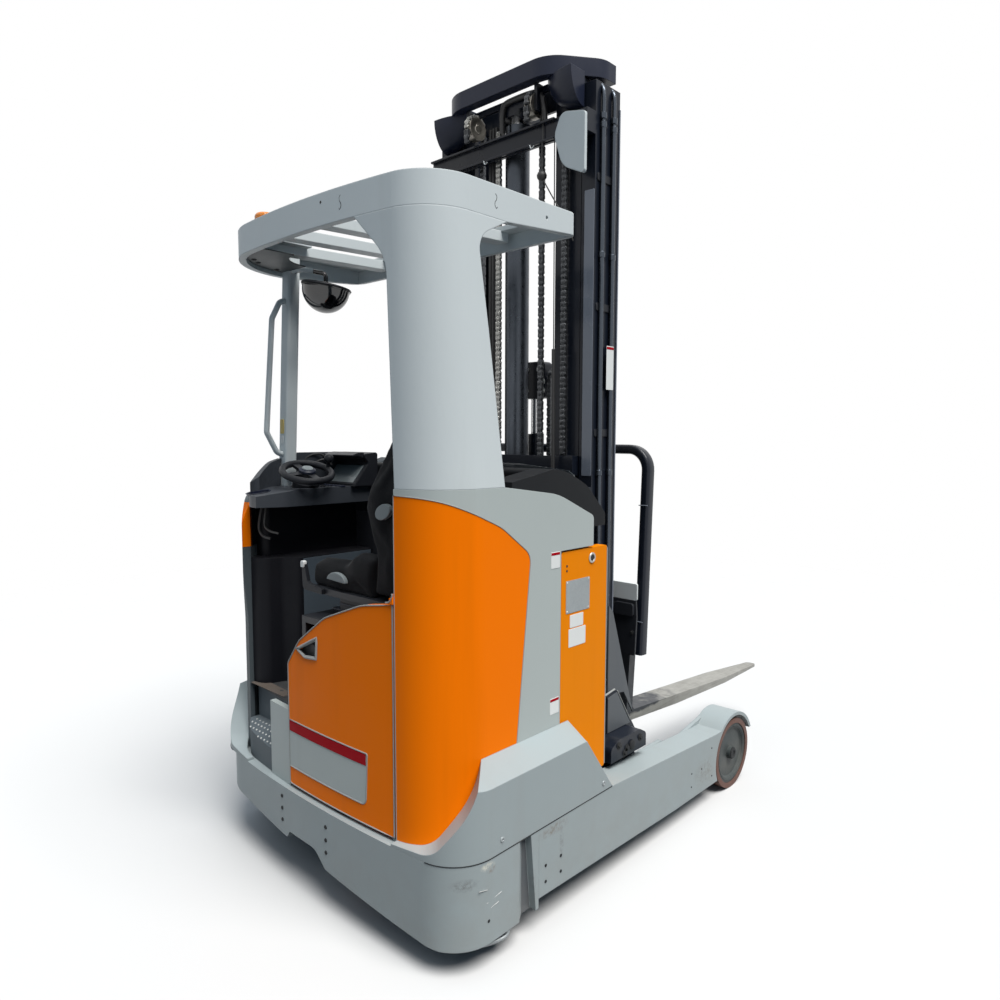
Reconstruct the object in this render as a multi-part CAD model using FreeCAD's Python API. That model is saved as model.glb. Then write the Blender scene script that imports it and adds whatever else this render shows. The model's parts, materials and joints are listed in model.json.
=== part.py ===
"""Electric reach truck with a three-stage mast, built as separate named pieces.

Inside this file Y = 0 is the load wheel axle, +Y points where the forks point, +X is the side of the
driver's back and Z = 0 is the floor.  save() shifts every piece so that the finished part's origin is
the middle of its footprint.  All lengths are millimetres, all angles degrees.
"""
import FreeCAD
import Part
import math
import os

V = FreeCAD.Vector
os.makedirs("parts", exist_ok=True)

# ---------------------------------------------------------------- overall sizes
truck_width = 1270.0
load_axle_to_rear = 1610.0
wheelbase = 1370.0
chassis_top = 316.0
chassis_bottom = 78.0
floor_height = 560.0
sill_height = 1300.0
guard_top = 2105.0
mast_height = 2650.0            # outer stage
stage_height = mast_height + 30  # middle and inner stage
barrel_top = mast_height - 50

half_width = truck_width / 2
rear_y = -load_axle_to_rear
drive_y = -wheelbase

# ---------------------------------------------------------------- chassis and wheel arms
crown = 40.0                    # how far the rear bulges at its middle
chassis_corner = 140.0
entry_corner = 205.0            # the entry side's rear corner is rounder
chassis_wall = 25.0
recess_depth = 22.0
deck_thickness = 20.0
arm_width = 105.0
arm_rear_y = -1250.0
arm_front_y = -165.0
arm_top_rear_y = -880.0
arm_top_front = 270.0
arm_plate = 15.0                # inner plate that carries the load wheel axle
battery_bay_front_y = -850.0
load_wheel_r = 142.5
load_wheel_w = 95.0
load_tyre_depth = 20.0
load_axle_r = 20.0
hood_gap = 14.0
hood_thickness = 14.0
running_fit = 0.05
seat_gap = 0.3

# ---------------------------------------------------------------- steered drive unit
drive_x = 130.0
drive_wheel_r = 180.0
drive_wheel_w = 130.0
drive_tyre_depth = 32.0
drive_axle_r = 30.0
drive_well_r = 215.0
turntable_r = 150.0
turntable_z = 372.0
bridge_z = 400.0
bridge_thickness = 25.0
steer_pin_r = 60.0

# ---------------------------------------------------------------- body
body_half = 560.0
body_rear_y = -1592.0
body_corner = 170.0
body_wall = 25.0
seam = 4.0                      # gap between neighbouring panels
door_left_x = -123.0
door_right_x = 382.0
door_bottom = 328.0
door_thickness = 28.0
hinge_seam = 8.0                # wider gap beside the door's pivot pins
hinge_x = door_right_x - 8
hinge_y = -1564.5
hinge_pin_r = 6.0
door_top = 985.0
pillar_wall = 60.0
guard_half = 548.0
guard_rear_y = -1622.0
guard_front_y = -975.0
guard_fascia = 88.0
guard_wall = 22.0
guard_corner = 150.0
guard_crown = 50.0
guard_front_corner = 45.0
guard_entry_corner = 290.0
guard_hole_y = -1130.0
guard_hole_z = 2064.0
guard_hole_r = 5.0
bulkhead_y = -1080.0
bulkhead_thickness = 20.0
battery_front_y = -815.0
battery_rear_y = -1050.0
battery_bottom = 340.0
battery_top = 1088.0
battery_half = 525.0

rim_wall = 26.0                  # raised edge around the outside of the console
rim_top = 1378.0
console_low = 1195.0

# ---------------------------------------------------------------- driver's seat
seat_cover_z = 868.0
pan_z = 955.0
seat_rear_y = -1490.0
seat_front_y = -1110.0
seat_back_x = 185.0

# ---------------------------------------------------------------- steering wheel
column_foot = V(-397, -1340, 1240)
wheel_axis = V(0.35, -0.1, 1).normalize()
wheel_centre = column_foot + wheel_axis * 75
wheel_rim_r = 86.0
wheel_tube_r = 12.0

# ---------------------------------------------------------------- mast
stage_y = -601.0                # middle of every mast channel
outer_half = 385.0
channel_width = 56.0
stage_gap = 6.0
channel_web = 14.0
channel_flange = 18.0
outer_depth = 144.0
depth_step = 10.0
stage_foot = 90.0
lift_travel = mast_height - 900
bar_thickness = 12.0
lift_barrel_r = 46.0
lift_barrel_y = -640.0
lift_rod_r = 28.0
stage_clearance = 6.0           # between pieces of neighbouring stages
sheave_x = 150.0
sheave_y = -716.0
sheave_z = stage_height - 68
sheave_r = 42.0

# ---------------------------------------------------------------- forks
fork_face_y = -372.0            # before the forks lean
fork_length = 1200.0
fork_width = 100.0
fork_heel = 40.0
fork_tip = 12.0
fork_centre_x = 350.0
fork_top_z = 378.0
fork_lean = 4.5                 # forks rest tipped forward by this angle
backrest_lean = 2.5
fork_bar_half = 412.0
tilt_y = -404.0
tilt_z = 780.0
tilt_pin_r = 15.0
carriage_low = 380.0
carriage_high = 740.0
carriage_bar = 60.0
carriage_bar_y = -480.0


def turned_point(y, z, angle):
    """Point (y, z) turned nose-down by angle about the fork tilt pin."""
    a = math.radians(angle)
    dy, dz = y - tilt_y, z - tilt_z
    return tilt_y + dy * math.cos(a) + dz * math.sin(a), tilt_z - dy * math.sin(a) + dz * math.cos(a)


fork_tip_y = turned_point(fork_face_y + fork_length, fork_top_z, fork_lean)[0]
origin_y = (guard_rear_y + fork_tip_y) / 2


# ================================================================ helpers
def box(x, y, z):
    """Block between pairs of limits."""
    return Part.makeBox(x[1] - x[0], y[1] - y[0], z[1] - z[0], V(x[0], y[0], z[0]))


def rod(start, direction, radius, length):
    return Part.makeCylinder(radius, length, V(*start), V(*direction))


def fuse(*shapes):
    """One clean solid from touching pieces."""
    result = shapes[0]
    if len(shapes) > 1:
        result = result.fuse(list(shapes[1:]))
    return result.removeSplitter()


def mirrored(shape):
    """Copy on the other side of the truck's middle plane."""
    return shape.mirror(V(0, 0, 0), V(1, 0, 0))


def both(shape):
    return [shape, mirrored(shape)]


def place(a, b, at, plane):
    """Point (a, b) of a flat outline, in the row plane that the outline lies in."""
    if plane == "xy":
        return V(a, b, at)
    if plane == "xz":
        return V(a, at, b)
    return V(at, a, b)


def outline(points, plane, at):
    """Flat face from corners (a, b) or (a, b, radius)."""
    corners = [V(p[0], p[1], 0) for p in points]
    radii = [p[2] if len(p) > 2 else 0.0 for p in points]
    stretches = []
    for i, here in enumerate(corners):
        before, after = corners[i - 1], corners[(i + 1) % len(corners)]
        if radii[i] == 0.0:
            stretches.append((here, None, here))
            continue
        back = (before - here).normalize()
        on = (after - here).normalize()
        half = back.getAngle(on) / 2
        reach = radii[i] / math.tan(half)
        inward = (back + on).normalize()
        middle = here + inward * (radii[i] / math.sin(half) - radii[i])
        stretches.append((here + back * reach, middle, here + on * reach))
    edges = []
    for i, (start, middle, end) in enumerate(stretches):
        if middle is not None:
            three = [place(p.x, p.y, at, plane) for p in (start, middle, end)]
            edges.append(Part.Arc(*three).toShape())
        onward = stretches[(i + 1) % len(stretches)][0]
        if end.distanceToPoint(onward) > 1e-6:
            two = [place(p.x, p.y, at, plane) for p in (end, onward)]
            edges.append(Part.makeLine(*two))
    return Part.Face(Part.Wire(edges))


def slab(points, plane, low, high):
    """Outline extruded square to its plane, from low to high."""
    direction = {"xy": V(0, 0, 1), "xz": V(0, 1, 0), "yz": V(1, 0, 0)}[plane]
    return outline(points, plane, low).extrude(direction * (high - low))


def plan_face(half, front, rear, bulge, corner, z, left_corner=None):
    """Body in plan at a height: straight sides, a crowned rear and rounded rear corners."""
    big = (half ** 2 + bulge ** 2) / (2 * bulge)
    centre_y = rear + big

    def side(sign, r):
        """Nose, start, middle and end of one side's corner."""
        corner_y = centre_y - math.sqrt((big - r) ** 2 - (half - r) ** 2)
        turn = math.atan2(half - r, centre_y - corner_y)
        bend = (math.pi / 2 + turn) / 2
        spots = [(half, front), (half, corner_y),
                 (half - r + r * math.sin(bend), corner_y - r * math.cos(bend)),
                 (big * math.sin(turn), centre_y - big * math.cos(turn))]
        return [V(sign * x, y, z) for x, y in spots]

    nose, start, middle, end = side(1, corner)
    nose_left, start_left, middle_left, end_left = side(-1, left_corner or corner)
    edges = [Part.makeLine(nose_left, nose), Part.makeLine(nose, start),
             Part.Arc(start, middle, end).toShape(),
             Part.Arc(end, V(0, rear, z), end_left).toShape(),
             Part.Arc(end_left, middle_left, start_left).toShape(), Part.makeLine(start_left, nose_left)]
    return Part.Face(Part.Wire(edges))


def plan(half, front, rear, bulge, corner, z, left_corner=None):
    """Plan outline extruded between two heights."""
    return plan_face(half, front, rear, bulge, corner, z[0], left_corner).extrude(V(0, 0, z[1] - z[0]))


def shell(half, front, rear, bulge, corner, wall, z, left_corner=None):
    """Plan outline as a wall of even thickness, open at the front."""
    outer = plan(half, front, rear, bulge, corner, z, left_corner)
    left_inner = left_corner - wall if left_corner else None
    return outer.cut(plan(half - wall, front + 1, rear + wall, bulge, corner - wall, z, left_inner))


def bent_tube(points, radius, bend):
    """Round tube along straight runs with tangent bends."""
    path = [V(*p) for p in points]
    edges = []
    start = path[0]
    for i in range(1, len(path) - 1):
        back = (path[i - 1] - path[i]).normalize()
        on = (path[i + 1] - path[i]).normalize()
        half = back.getAngle(on) / 2
        reach = bend / math.tan(half)
        inward = (back + on).normalize()
        middle = path[i] + inward * (bend / math.sin(half) - bend)
        first, last = path[i] + back * reach, path[i] + on * reach
        if start.distanceToPoint(first) > 1e-6:
            edges.append(Part.makeLine(start, first))
        edges.append(Part.Arc(first, middle, last).toShape())
        start = last
    edges.append(Part.makeLine(start, path[-1]))
    wire = Part.Wire(edges)
    ring = Part.Wire([Part.makeCircle(radius, path[0], path[1] - path[0])])
    return wire.makePipeShell([ring], True, True)


def turned(shape, angle):
    """Shape turned nose-down about the fork tilt pin."""
    copy = shape.copy()
    copy.rotate(V(0, tilt_y, tilt_z), V(1, 0, 0), -angle)
    return copy


def save(name, *solids):
    """Write one node, shifted to the part's origin."""
    shape = solids[0] if len(solids) == 1 else Part.makeCompound(list(solids))
    shape = shape.copy()
    shape.translate(V(0, -origin_y, 0))
    if not shape.isValid():
        print("INVALID", name)
    print(f"{name}: {len(shape.Solids)} solids, {shape.Volume / 1e9:.5f} m3")
    shape.exportStep(f"parts/{name}.step")


# ================================================================ chassis
def chassis_frame():
    """Rear tub with its drive well, bulkhead and the beams that carry the battery."""
    tub = shell(half_width, arm_rear_y, rear_y, crown, chassis_corner, chassis_wall,
                (chassis_bottom, chassis_top), entry_corner)
    deck = plan(half_width - 1, arm_rear_y, rear_y + 1, crown, chassis_corner,
                (chassis_top - deck_thickness, chassis_top), entry_corner)
    inner = half_width - arm_width - arm_plate
    tongue = box((-inner, inner), (arm_rear_y, battery_bay_front_y),
                 (chassis_top - deck_thickness, chassis_top))
    well = rod((drive_x, drive_y, 0), (0, 0, 1), drive_well_r, chassis_top + 10)
    wall = box((-inner, inner), (drive_y + drive_well_r + 5, drive_y + drive_well_r + 25),
               (110, chassis_top - 5))
    beams = [box((x - 15, x + 15), (drive_y + drive_well_r + 20, battery_bay_front_y),
                 (150, chassis_top - 5))
             for x in (-415, 415)]
    ends = [box((s * half_width - (chassis_wall if s > 0 else 0),
                 s * half_width + (0 if s > 0 else chassis_wall)),
                (arm_rear_y - 1, arm_rear_y), (chassis_bottom, chassis_top)) for s in (-1, 1)]
    frame = fuse(tub, deck, tongue, wall, *beams, *ends).cut(well)
    # The lower edge steps up under the entry, on the side away from the drive wheel.
    notch = slab([(-half_width - 10, 0), (560, 0), (560, chassis_bottom), (92, 130, 10), (40, 176, 60),
                  (-105, 176, 8), (-120, 152, 8), (-half_width - 10, 205)], "xz", rear_y - 10,
                 rear_y + 150)
    # A sloping recess parts the tub's side from the wheel arm, over a doubled wall.
    backing = box((half_width - 2 * chassis_wall, half_width - chassis_wall + 1),
                  (arm_rear_y - 95, arm_rear_y),
                  (chassis_bottom, chassis_top))
    deep = half_width - recess_depth
    lip = slab([(arm_rear_y - 90, chassis_bottom - 1), (arm_rear_y - 90, chassis_top + 1),
                (arm_rear_y - 36, chassis_top + 1), (arm_rear_y - 13, chassis_bottom - 1)], "yz", 0,
               half_width + 2)
    groove = slab([(half_width + 1, arm_rear_y - 84), (half_width - 3, arm_rear_y - 82),
                   (deep, arm_rear_y - 52, 6),
                   (deep, arm_rear_y - 10), (half_width + 1, arm_rear_y - 10)], "xy", 0,
                  chassis_top + 1).common(lip)
    frame = fuse(frame, *both(backing)).cut(both(groove))
    pin = rod((hinge_x, hinge_y, chassis_top - 5), (0, 0, 1), hinge_pin_r,
              door_bottom + 12 - chassis_top + 5)
    return fuse(frame.cut(notch), pin)


def wheel_arm():
    """Right wheel arm: tapering beam, wheel pocket, rounded hood and axle stub."""
    outer = half_width
    inner = outer - arm_width
    low = chassis_bottom + 30
    beam = slab([(arm_rear_y, low), (arm_rear_y, chassis_top), (arm_top_rear_y, chassis_top),
                 (arm_front_y, arm_top_front), (0, arm_top_front), (0, chassis_bottom - 6),
                 (-480, chassis_bottom)],
                "yz", inner, outer)
    plate = slab([(-400, chassis_bottom), (-400, 240), (-80, load_wheel_r + 150, 60),
                  (90, load_wheel_r + 130, 60),
                  (120, load_wheel_r, 40), (60, chassis_bottom - 6, 30)], "yz", inner - arm_plate,
                 inner + 1)
    web = box((inner - arm_plate, inner + 1), (arm_rear_y, -400), (110, 290))
    hood_r = load_wheel_r + hood_gap
    hood = rod((inner - arm_plate, 0, load_wheel_r), (1, 0, 0), hood_r + hood_thickness,
               arm_width + arm_plate)
    keep = box((0, outer + 10), (-400, 400), (load_wheel_r + 70, 1000))
    hood = hood.common(keep)
    pocket = rod((inner + 0.5, 0, load_wheel_r), (1, 0, 0), hood_r, arm_width + 10)
    under = box((inner + 0.5, outer + 10), (0, 400), (0, load_wheel_r + 70))
    stub = rod((inner - 1, 0, load_wheel_r), (1, 0, 0), load_axle_r, 60)
    body = fuse(beam, plate, web, hood).cut(pocket).cut(under)
    return fuse(body, stub)


def load_wheel():
    """Right load wheel: moulded tyre on a dished hub with a bore for the stub axle."""
    inner = half_width - arm_width + 4
    outer = inner + load_wheel_w
    rim_r = load_wheel_r - load_tyre_depth
    tyre = rod((inner, 0, load_wheel_r), (1, 0, 0), load_wheel_r, load_wheel_w)
    tyre = tyre.cut(rod((inner - 1, 0, load_wheel_r), (1, 0, 0), rim_r, load_wheel_w + 2))
    hub = rod((inner, 0, load_wheel_r), (1, 0, 0), rim_r, load_wheel_w - 4)
    hub = hub.cut(rod((inner - 1, 0, load_wheel_r), (1, 0, 0), load_axle_r + running_fit, 64))
    dish = Part.makeCone(rim_r - 26, rim_r - 12, 12, V(outer - 14, 0, load_wheel_r), V(1, 0, 0))
    cap = rod((outer - 15, 0, load_wheel_r), (1, 0, 0), 26, 15)
    hub = fuse(hub.cut(dish), cap)
    return tyre, hub


def fender():
    """Right fender: sloping top between body and chassis sides, swept down round the rear corner."""
    z = (chassis_top, sill_height)
    ring = plan(half_width, -1024, rear_y, crown, chassis_corner, z)
    ring = ring.cut(plan(body_half + seat_gap, -900, body_rear_y - seat_gap, crown, body_corner, z))
    nose = slab([(-1100, chassis_top), (-1100, 700), (-1030, 700), (-1030, 560), (-1024, 510),
                 (arm_top_rear_y - 4, chassis_top + 4), (arm_top_rear_y - 4, chassis_top)], "yz",
                body_half + seat_gap, half_width)
    block = fuse(ring, nose)
    top = slab([(body_half - 30, 575), (half_width + 20, 495), (half_width + 20, 1400),
                (body_half - 200, 1400),
                (body_half - 200, 575)], "xz", -1700, -800)
    # The sweep is drawn square to the corner's bisector, then turned to it.
    sweep = slab([(-1000, chassis_top + 8), (-845, chassis_top + 8), (-735, chassis_top + 20, 90),
                  (-620, 470, 260),
                  (-592, 600), (-592, 900), (-1000, 900)], "xz", -1900, -900)
    sweep.rotate(V(0, 0, 0), V(0, 0, 1), 45)
    side = box((door_right_x + 10, half_width + 50), (-1700, -800), (chassis_top, 1400))
    return block.common(side).cut(top).cut(sweep)


# ================================================================ body
def side_profile(front_low):
    """Right body side seen square on: Y and Z limits of its metal."""
    return [(-1800, chassis_top + seam), (front_low, chassis_top + seam), (front_low, battery_top + 6),
            (-898, battery_top + 6, 4), (-898, 1190, 20), (-1080, 1268, 300), (-1317, sill_height),
            (-1800, sill_height)]


def orange_profile():
    """The painted corner panel, seen from the side."""
    return [(-1800, 0), (-1330, 0), (-1263, 560), (-1205, 1100, 50), (-1330, 1190, 200),
            (-1560, 1288, 400),
            (-1800, 1290)]


def body_right():
    """Right side and rear corner: grey shell and the painted corner panel let into it."""
    skin = shell(body_half, -850, body_rear_y, crown, body_corner, body_wall, (chassis_top, sill_height))
    metal = skin.common(slab(side_profile(-1064), "yz", door_right_x - 20, 700))
    metal = metal.common(box((door_right_x + hinge_seam, 700), (-1800, -800), (0, 2000)))
    cutter = slab(orange_profile(), "yz", 0, 700)
    gap = slab([(y + (0.5 if y > -1700 else 0), z + (0.5 if z > 500 else 0), *r) for y, z,
                *r in orange_profile()],
               "yz", 0, 700)
    lug = box((hinge_x - 8, door_right_x + hinge_seam + 2), (hinge_y - 7, hinge_y + 9),
              (door_top + 4, door_top + 16))
    pin = rod((hinge_x, hinge_y, door_top - 12), (0, 0, 1), hinge_pin_r, 17)
    return metal.cut(gap), fuse(metal.common(cutter), lug, pin)


def body_left():
    """Left side beyond the console: grey shell with a painted panel along its top."""
    skin = shell(body_half, -850, body_rear_y, crown, body_corner, body_wall, (chassis_top, 1240))
    profile = [(-1530, chassis_top + seam), (-1064, chassis_top + seam), (-1064, battery_top + 6),
               (-898, battery_top + 6, 4), (-898, 1190, 20), (-1080, 1240, 60), (-1500, 1240, 60),
               (-1560, 1100, 60), (-1530, 800, 200)]
    metal = skin.common(slab(profile, "yz", -700, -480))
    paint = [(-1800, 1050), (-1240, 1050, 25), (-1205, 1110, 30), (-1330, 1190, 150), (-1800, 1230)]
    cutter = slab(paint, "yz", -700, 0)
    gap = slab([(y + (0.5 if y > -1700 else 0), z + (0.5 if z > 1060 else -0.5), *r) for y, z, *r in paint],
               "yz", -700, 0)
    return metal.cut(gap), metal.common(cutter)


def rear_door():
    """Service door over the drive unit, with a curved top and a recessed grip."""
    skin = shell(body_half, -850, body_rear_y, crown, body_corner, door_thickness,
                 (chassis_top, sill_height))
    face = slab([(door_left_x, door_bottom, 8), (door_left_x, 722, 25), (-55, 806, 80), (85, 902, 150),
                 (258, 966, 200), (door_right_x, door_top), (door_right_x, door_bottom)], "xz", -1700,
                -1500)
    grip = slab([(-62, 779, 4), (-20, 766, 6), (36, 772, 6), (40, 826, 4)], "xz", -1700, body_rear_y + 16)
    plate = slab([(door_left_x - 1, 385), (275 - 8, 385, 20), (275, 539, 6), (door_left_x - 1, 539)],
                 "xz", -1700, -1500)
    let_in = shell(body_half, -850, body_rear_y, crown, body_corner, 4.0, (chassis_top, sill_height))
    emblem = let_in.common(plate).common(face)
    bores = [rod((hinge_x, hinge_y, z), (0, 0, 1), hinge_pin_r + running_fit, 17)
             for z in (door_bottom - 1, door_top - 15)]
    return skin.common(face).cut(grip).cut(emblem).cut(bores[0]).cut(bores[1]), emblem


def rear_pillar():
    """Wide rounded pillar from the sill to the guard, leaning in as it rises."""
    top = guard_top - guard_fascia

    def solid(inset):
        """Pillar outline from the body's shape at its foot to the guard's shape at its head."""
        foot = plan_face(body_half - inset, -850 + inset, body_rear_y + inset, crown,
                         body_corner - inset, sill_height)
        head = plan_face(guard_half - inset, -850 + inset, guard_rear_y + inset, guard_crown,
                         guard_corner - inset, top)
        return Part.makeLoft([foot.OuterWire, head.OuterWire], True, True)

    skin = solid(0.0).cut(solid(pillar_wall))
    lean = slab([(-1800, sill_height), (-1317, sill_height), (-1375, 1721), (-1412, 1960, 60),
                 (-1300, guard_top - guard_fascia), (-1800, guard_top - guard_fascia)], "yz", 0, 700)
    edge = slab([(700, sill_height), (door_right_x + 12, sill_height), (door_right_x + 12, 1900, 120),
                 (door_right_x - 100, guard_top - guard_fascia), (700, guard_top - guard_fascia)],
                "xz", -1700, -1200)
    return skin.common(lean).common(edge)


def overhead_guard():
    """Guard ring with a deep fascia, a mast-side bar and slanting roof bars."""
    z = (guard_top - guard_fascia, guard_top)
    outline_ring = plan(guard_half, guard_front_y, guard_rear_y, guard_crown, guard_corner, z,
                        guard_entry_corner)
    r = guard_front_corner
    tip = box((guard_half - r, guard_half + 1), (guard_front_y - r, guard_front_y + 1),
              (z[0] - 1, z[1] + 1))
    tip = tip.cut(rod((guard_half - r, guard_front_y - r, z[0] - 2), (0, 0, 1), r, guard_fascia + 4))
    outline_ring = outline_ring.cut(both(tip))
    opening = plan(guard_half - 75, guard_front_y - 70, guard_rear_y + 95, guard_crown, 90, z, 215)
    under = plan(guard_half - guard_wall, guard_front_y - guard_wall, guard_rear_y + guard_wall,
                 guard_crown, 130, (z[0] - 1, z[1] - 16), 270)
    ring = outline_ring.cut(opening).cut(under)
    seat = shell(body_half - 20, -1300, body_rear_y + 20, crown, body_corner, pillar_wall, z)
    seat = seat.common(box((300, 700), (-1700, -1310), (z[0], z[1] - 10)))
    bars = []
    for x in (-400, -200, 0, 200):
        bars.append(slab([(x - 25, guard_rear_y + 80), (x + 25, guard_rear_y + 80),
                          (x + 95, guard_front_y - 40), (x + 45, guard_front_y - 40)],
                         "xy", z[1] - 46, z[1] - 14))
    corner_plate = box((-guard_half + 20, -guard_half + 230), (-1560, -1345), (z[1] - 20, z[1] - 14))
    taper = slab([(-1300, z[0] - 1), (-1300, z[0]), (guard_front_y + 1, z[0] + 26),
                  (guard_front_y + 1, z[0] - 1)], "yz", -guard_half - 1, guard_half + 1)
    hole = rod((guard_half - guard_wall - 1, guard_hole_y, guard_hole_z), (1, 0, 0),
               guard_hole_r, guard_wall + 2)
    return fuse(ring, seat, *bars, corner_plate.common(outline_ring)).cut(taper).cut(hole)


def pillar_at(z):
    """Middle of the left pillar at a height: it leans in and forwards as it rises."""
    low, high = V(-510, -1345, 1255), V(-498, -1315, guard_top - 16)
    return low + (high - low) * ((z - low.z) / (high.z - low.z))


def front_pillar():
    """Left pillar between the console and the guard."""
    low, high = pillar_at(1255), pillar_at(guard_top - 16)
    base = outline([(low.x - 26, low.y - 24, 10), (low.x + 26, low.y - 24, 10),
                    (low.x + 26, low.y + 24, 10), (low.x - 26, low.y + 24, 10)], "xy", low.z)
    return base.extrude(high - low)


def grab_handle():
    """Bent tube behind the left pillar, beside the entry."""
    path = []
    for z, out_y, out_z in ((1925, -1398, 1858), (1375, -1425, 1452)):
        at = pillar_at(z)
        face = at.y - 24 - seat_gap - 0.5
        path.append([(at.x, face, z), (at.x, face - 18, z), (at.x, out_y, out_z)])
    top, bottom = path
    return bent_tube(top + bottom[::-1], 10, 25)


def dome_mirror():
    """Round mirror under the guard, tipped towards the driver, on an arm from the left pillar."""
    x, y, z, r = -370, -1256, 1964, 84
    bowl = Part.makeSphere(r, V(x, y, z)).common(box((x - r, x + r), (y - r, y + r), (z - r, z + 1)))
    mirror = fuse(bowl, rod((x, y, z), (0, 0, 1), r + 3, 12))
    mirror.rotate(V(x, y, z), V(-0.68, 0.73, 0), 10)
    start = pillar_at(2032)
    arm = bent_tube([(start.x + 26 + seat_gap + 0.2, start.y, start.z), (-425, start.y, start.z),
                     (x, y, z + 55), (x, y, z + 5)], 8, 16)
    return fuse(mirror, arm)


def warning_beacon():
    base = rod((-455, -1440, guard_top), (0, 0, 1), 42, 30)
    lens = rod((-455, -1440, guard_top + 28), (0, 0, 1), 36, 72)
    lens = lens.makeFillet(14, [e for e in lens.Edges if abs(e.CenterOfMass.z - guard_top - 100) < 1])
    return fuse(base, lens)


# ================================================================ cab
def cab_floor():
    """Floor with its mat, from the entry to the mast-side wall."""
    slab_floor = plan(body_half - body_wall - seat_gap, bulkhead_y - seat_gap, body_rear_y + 60, crown,
                      110,
                      (floor_height - 15, floor_height))
    keep = box((-body_half, door_left_x - 10), (-1700, -1000), (0, 1000))
    return slab_floor.common(keep)


def entry_step():
    """Foothold let into the chassis behind the entry: sloping tread and riser."""
    tread = slab([(-1585, chassis_top + seat_gap), (-1585, chassis_top + 70), (-1530, chassis_top + 118),
                  (-1500, chassis_top + 118), (-1500, floor_height - 16), (-1488, floor_height - 16),
                  (-1488, chassis_top + seat_gap)], "yz", -476, -255)
    keep = plan(body_half - 30, -1400, body_rear_y + 6, crown, 140, (0, 700))
    return tread.common(keep)


def step_panel():
    """Flat grey panel between the foothold and the service door."""
    skin = shell(body_half, -1400, body_rear_y + 2, crown, body_corner, 20, (chassis_top + seat_gap, 566))
    return skin.common(box((-252, door_left_x - seam), (-1700, -1500), (0, 1000)))


def cab_plan(z):
    """Room inside the body walls, in plan."""
    gap = body_wall + seat_gap
    return plan(body_half - gap, bulkhead_y - seat_gap, body_rear_y + gap, crown, body_corner - gap, z)


def console():
    """Upper console: tray around the steering wheel, falling towards the entry, with a cup recess."""
    z = (console_low, 1255)
    top = slab([(-body_half, bulkhead_y), (-body_half, -1640), (-400, -1600, 80), (-330, -1450, 80),
                (-330, bulkhead_y)], "xy", *z)
    fall = slab([(-1700, 1300), (-1700, 1214), (-1600, 1226), (-1410, z[1]), (-1400, 1300)], "yz",
                -body_half, 0)
    cup = rod((-452, -1495, console_low + 5), (0, 0, 1), 38, 100)
    gap = body_wall + seat_gap
    wall = shell(body_half - gap, bulkhead_y - seat_gap, body_rear_y + gap, crown, body_corner - gap,
                 rim_wall, (console_low, rim_top))
    side = slab([(-1600, console_low), (-1600, 1232), (-1540, 1256, 40), (-1480, 1290, 60),
                 (-1409, 1345, 80), (-1300, rim_top, 150), (bulkhead_y, rim_top),
                 (bulkhead_y, console_low)], "yz",
                -body_half, -450)
    low, high = pillar_at(z[1]), pillar_at(rim_top)
    room = outline([(low.x - 30, low.y - 28), (low.x + 60, low.y - 28), (low.x + 60, low.y + 32),
                    (low.x - 30, low.y + 32)], "xy", z[1]).extrude(high - low)
    return fuse(top.common(cab_plan(z)).cut(fall), wall.common(side).cut(room)).cut(cup)


def console_base():
    """Lower console down to the floor, with a rounded entry end."""
    z = (floor_height, console_low)
    block = slab([(-body_half, bulkhead_y), (-body_half, -1530), (-425, -1505, 50), (-400, -1430, 40),
                  (-350, -1400, 40), (-350, bulkhead_y)], "xy", floor_height, 1010)
    neck = slab([(-body_half, bulkhead_y), (-body_half, -1470), (-470, -1470, 30), (-450, bulkhead_y)],
                "xy", 1010, console_low)
    return fuse(block.common(cab_plan(z)), neck.common(cab_plan(z)))


def instrument_panel():
    """Hooded display at the mast end of the console."""
    return slab([(-1190, 1255), (-1120, 1340, 10), (-1150, 1372, 8), (bulkhead_y - 1, 1380, 10),
                 (bulkhead_y - 1, 1255)], "yz", -(body_half - body_wall - rim_wall) + 2 * seat_gap, -310)


def steering_column():
    base = rod(column_foot, wheel_axis, 48, 42)
    column = fuse(base, rod(column_foot, wheel_axis, 16, 62))
    return column.cut(box((-600, 0), (-1500, -1000), (1100, 1255)))


def steering_wheel():
    """Small rim with two spokes, a hub and a turning knob."""
    r = wheel_rim_r
    rim = Part.makeTorus(r, wheel_tube_r, V(0, 0, 0), V(0, 0, 1))
    hub = rod((0, 0, -12), (0, 0, 1), 30, 22)
    spokes = fuse(box((-r, r), (-13, 13), (-8, 2)), box((-13, 13), (-r, 0), (-8, 2)))
    knob = fuse(rod((0, r, 0), (0, 0, 1), 7, 32), Part.makeSphere(17, V(0, r, 42)))
    wheel = fuse(rim, hub, spokes, knob)
    wheel.Placement = FreeCAD.Placement(wheel_centre, FreeCAD.Rotation(V(0, 0, 1), wheel_axis))
    return wheel


def seat_base():
    """Cover of the drive compartment, suspension box and pan under the driver's seat."""
    inner = door_left_x + 6
    cover = box((inner, body_half), (-1540, bulkhead_y), (seat_cover_z - 20, seat_cover_z))
    cover = cover.common(cab_plan((seat_cover_z - 100, seat_cover_z + 100)))
    suspension = box((-20, 290), (-1460, -1140), (seat_cover_z - 1, pan_z - 18))
    pan = box((-140, 300), (seat_rear_y, seat_front_y), (pan_z - 20, pan_z))
    wall = box((inner, inner + 20), (-1540, bulkhead_y - 1), (chassis_top, seat_cover_z - 19))
    return fuse(cover, suspension, pan, wall)


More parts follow.
